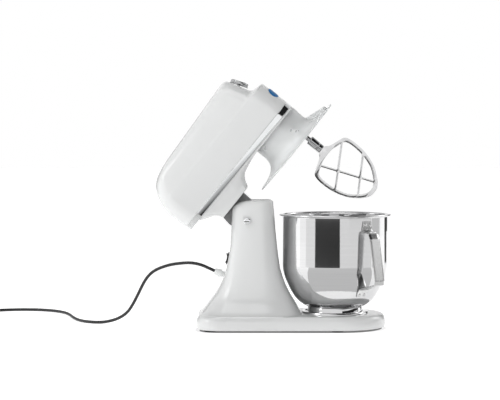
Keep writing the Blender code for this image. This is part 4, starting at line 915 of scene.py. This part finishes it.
wall_sector("right_rear_wall", 134, 158, 3.6, 0.003, 1.6, 0.06)

world = bpy.data.worlds.new("studio")
world.use_nodes = True
wt = world.node_tree
bg = next(n for n in wt.nodes if n.type == "BACKGROUND")
tc = wt.nodes.new("ShaderNodeTexCoord")
sx = wt.nodes.new("ShaderNodeSeparateXYZ")
mr = wt.nodes.new("ShaderNodeMapRange")
mr.inputs["From Min"].default_value = 0.45
mr.inputs["From Max"].default_value = 0.80
mr.inputs["To Min"].default_value = 1.0
mr.inputs["To Max"].default_value = 0.40
dt = wt.nodes.new("ShaderNodeVectorMath")
dt.operation = "DOT_PRODUCT"
dt.inputs[1].default_value = (0.35, -0.45, 0.82)
mq = wt.nodes.new("ShaderNodeMapRange")
mq.inputs["From Min"].default_value = 0.725
mq.inputs["From Max"].default_value = 0.80
mq.inputs["To Min"].default_value = 1.0
mq.inputs["To Max"].default_value = 0.015
mx = wt.nodes.new("ShaderNodeMath")
mx.operation = "MINIMUM"
wt.links.new(tc.outputs["Generated"], sx.inputs[0])
wt.links.new(tc.outputs["Generated"], dt.inputs[0])
wt.links.new(sx.outputs[2], mr.inputs["Value"])
wt.links.new(dt.outputs["Value"], mq.inputs["Value"])
wt.links.new(mr.outputs[0], mx.inputs[0])
wt.links.new(mq.outputs[0], mx.inputs[1])
wt.links.new(mx.outputs[0], bg.inputs["Color"])
bg.inputs["Strength"].default_value = 1.0
bpy.context.scene.world = world
bpy.context.scene.view_settings.view_transform = "Standard"


def area(name, loc, aim, size, power):
    d = bpy.data.lights.new(name, "AREA")
    d.shape = "RECTANGLE"
    d.size, d.size_y = size
    d.energy = power
    ob = bpy.data.objects.new(name, d)
    ob.location = loc
    ob.rotation_euler = (Vector(aim) - Vector(loc)).to_track_quat("-Z", "Y").to_euler()
    bpy.context.scene.collection.objects.link(ob)
    return ob


area("top_softbox", (-0.5, -1.0, 2.5), (0.0, 0.0, 0.25), (2.0, 1.5), 17)
area("left_softbox", (-2.6, -0.9, 1.3), (-0.1, 0, 0.3), (1.1, 1.3), 14)
area("right_softbox", (2.5, 0.95, 1.3), (0.1, 0, 0.25), (1.0, 1.0), 8)
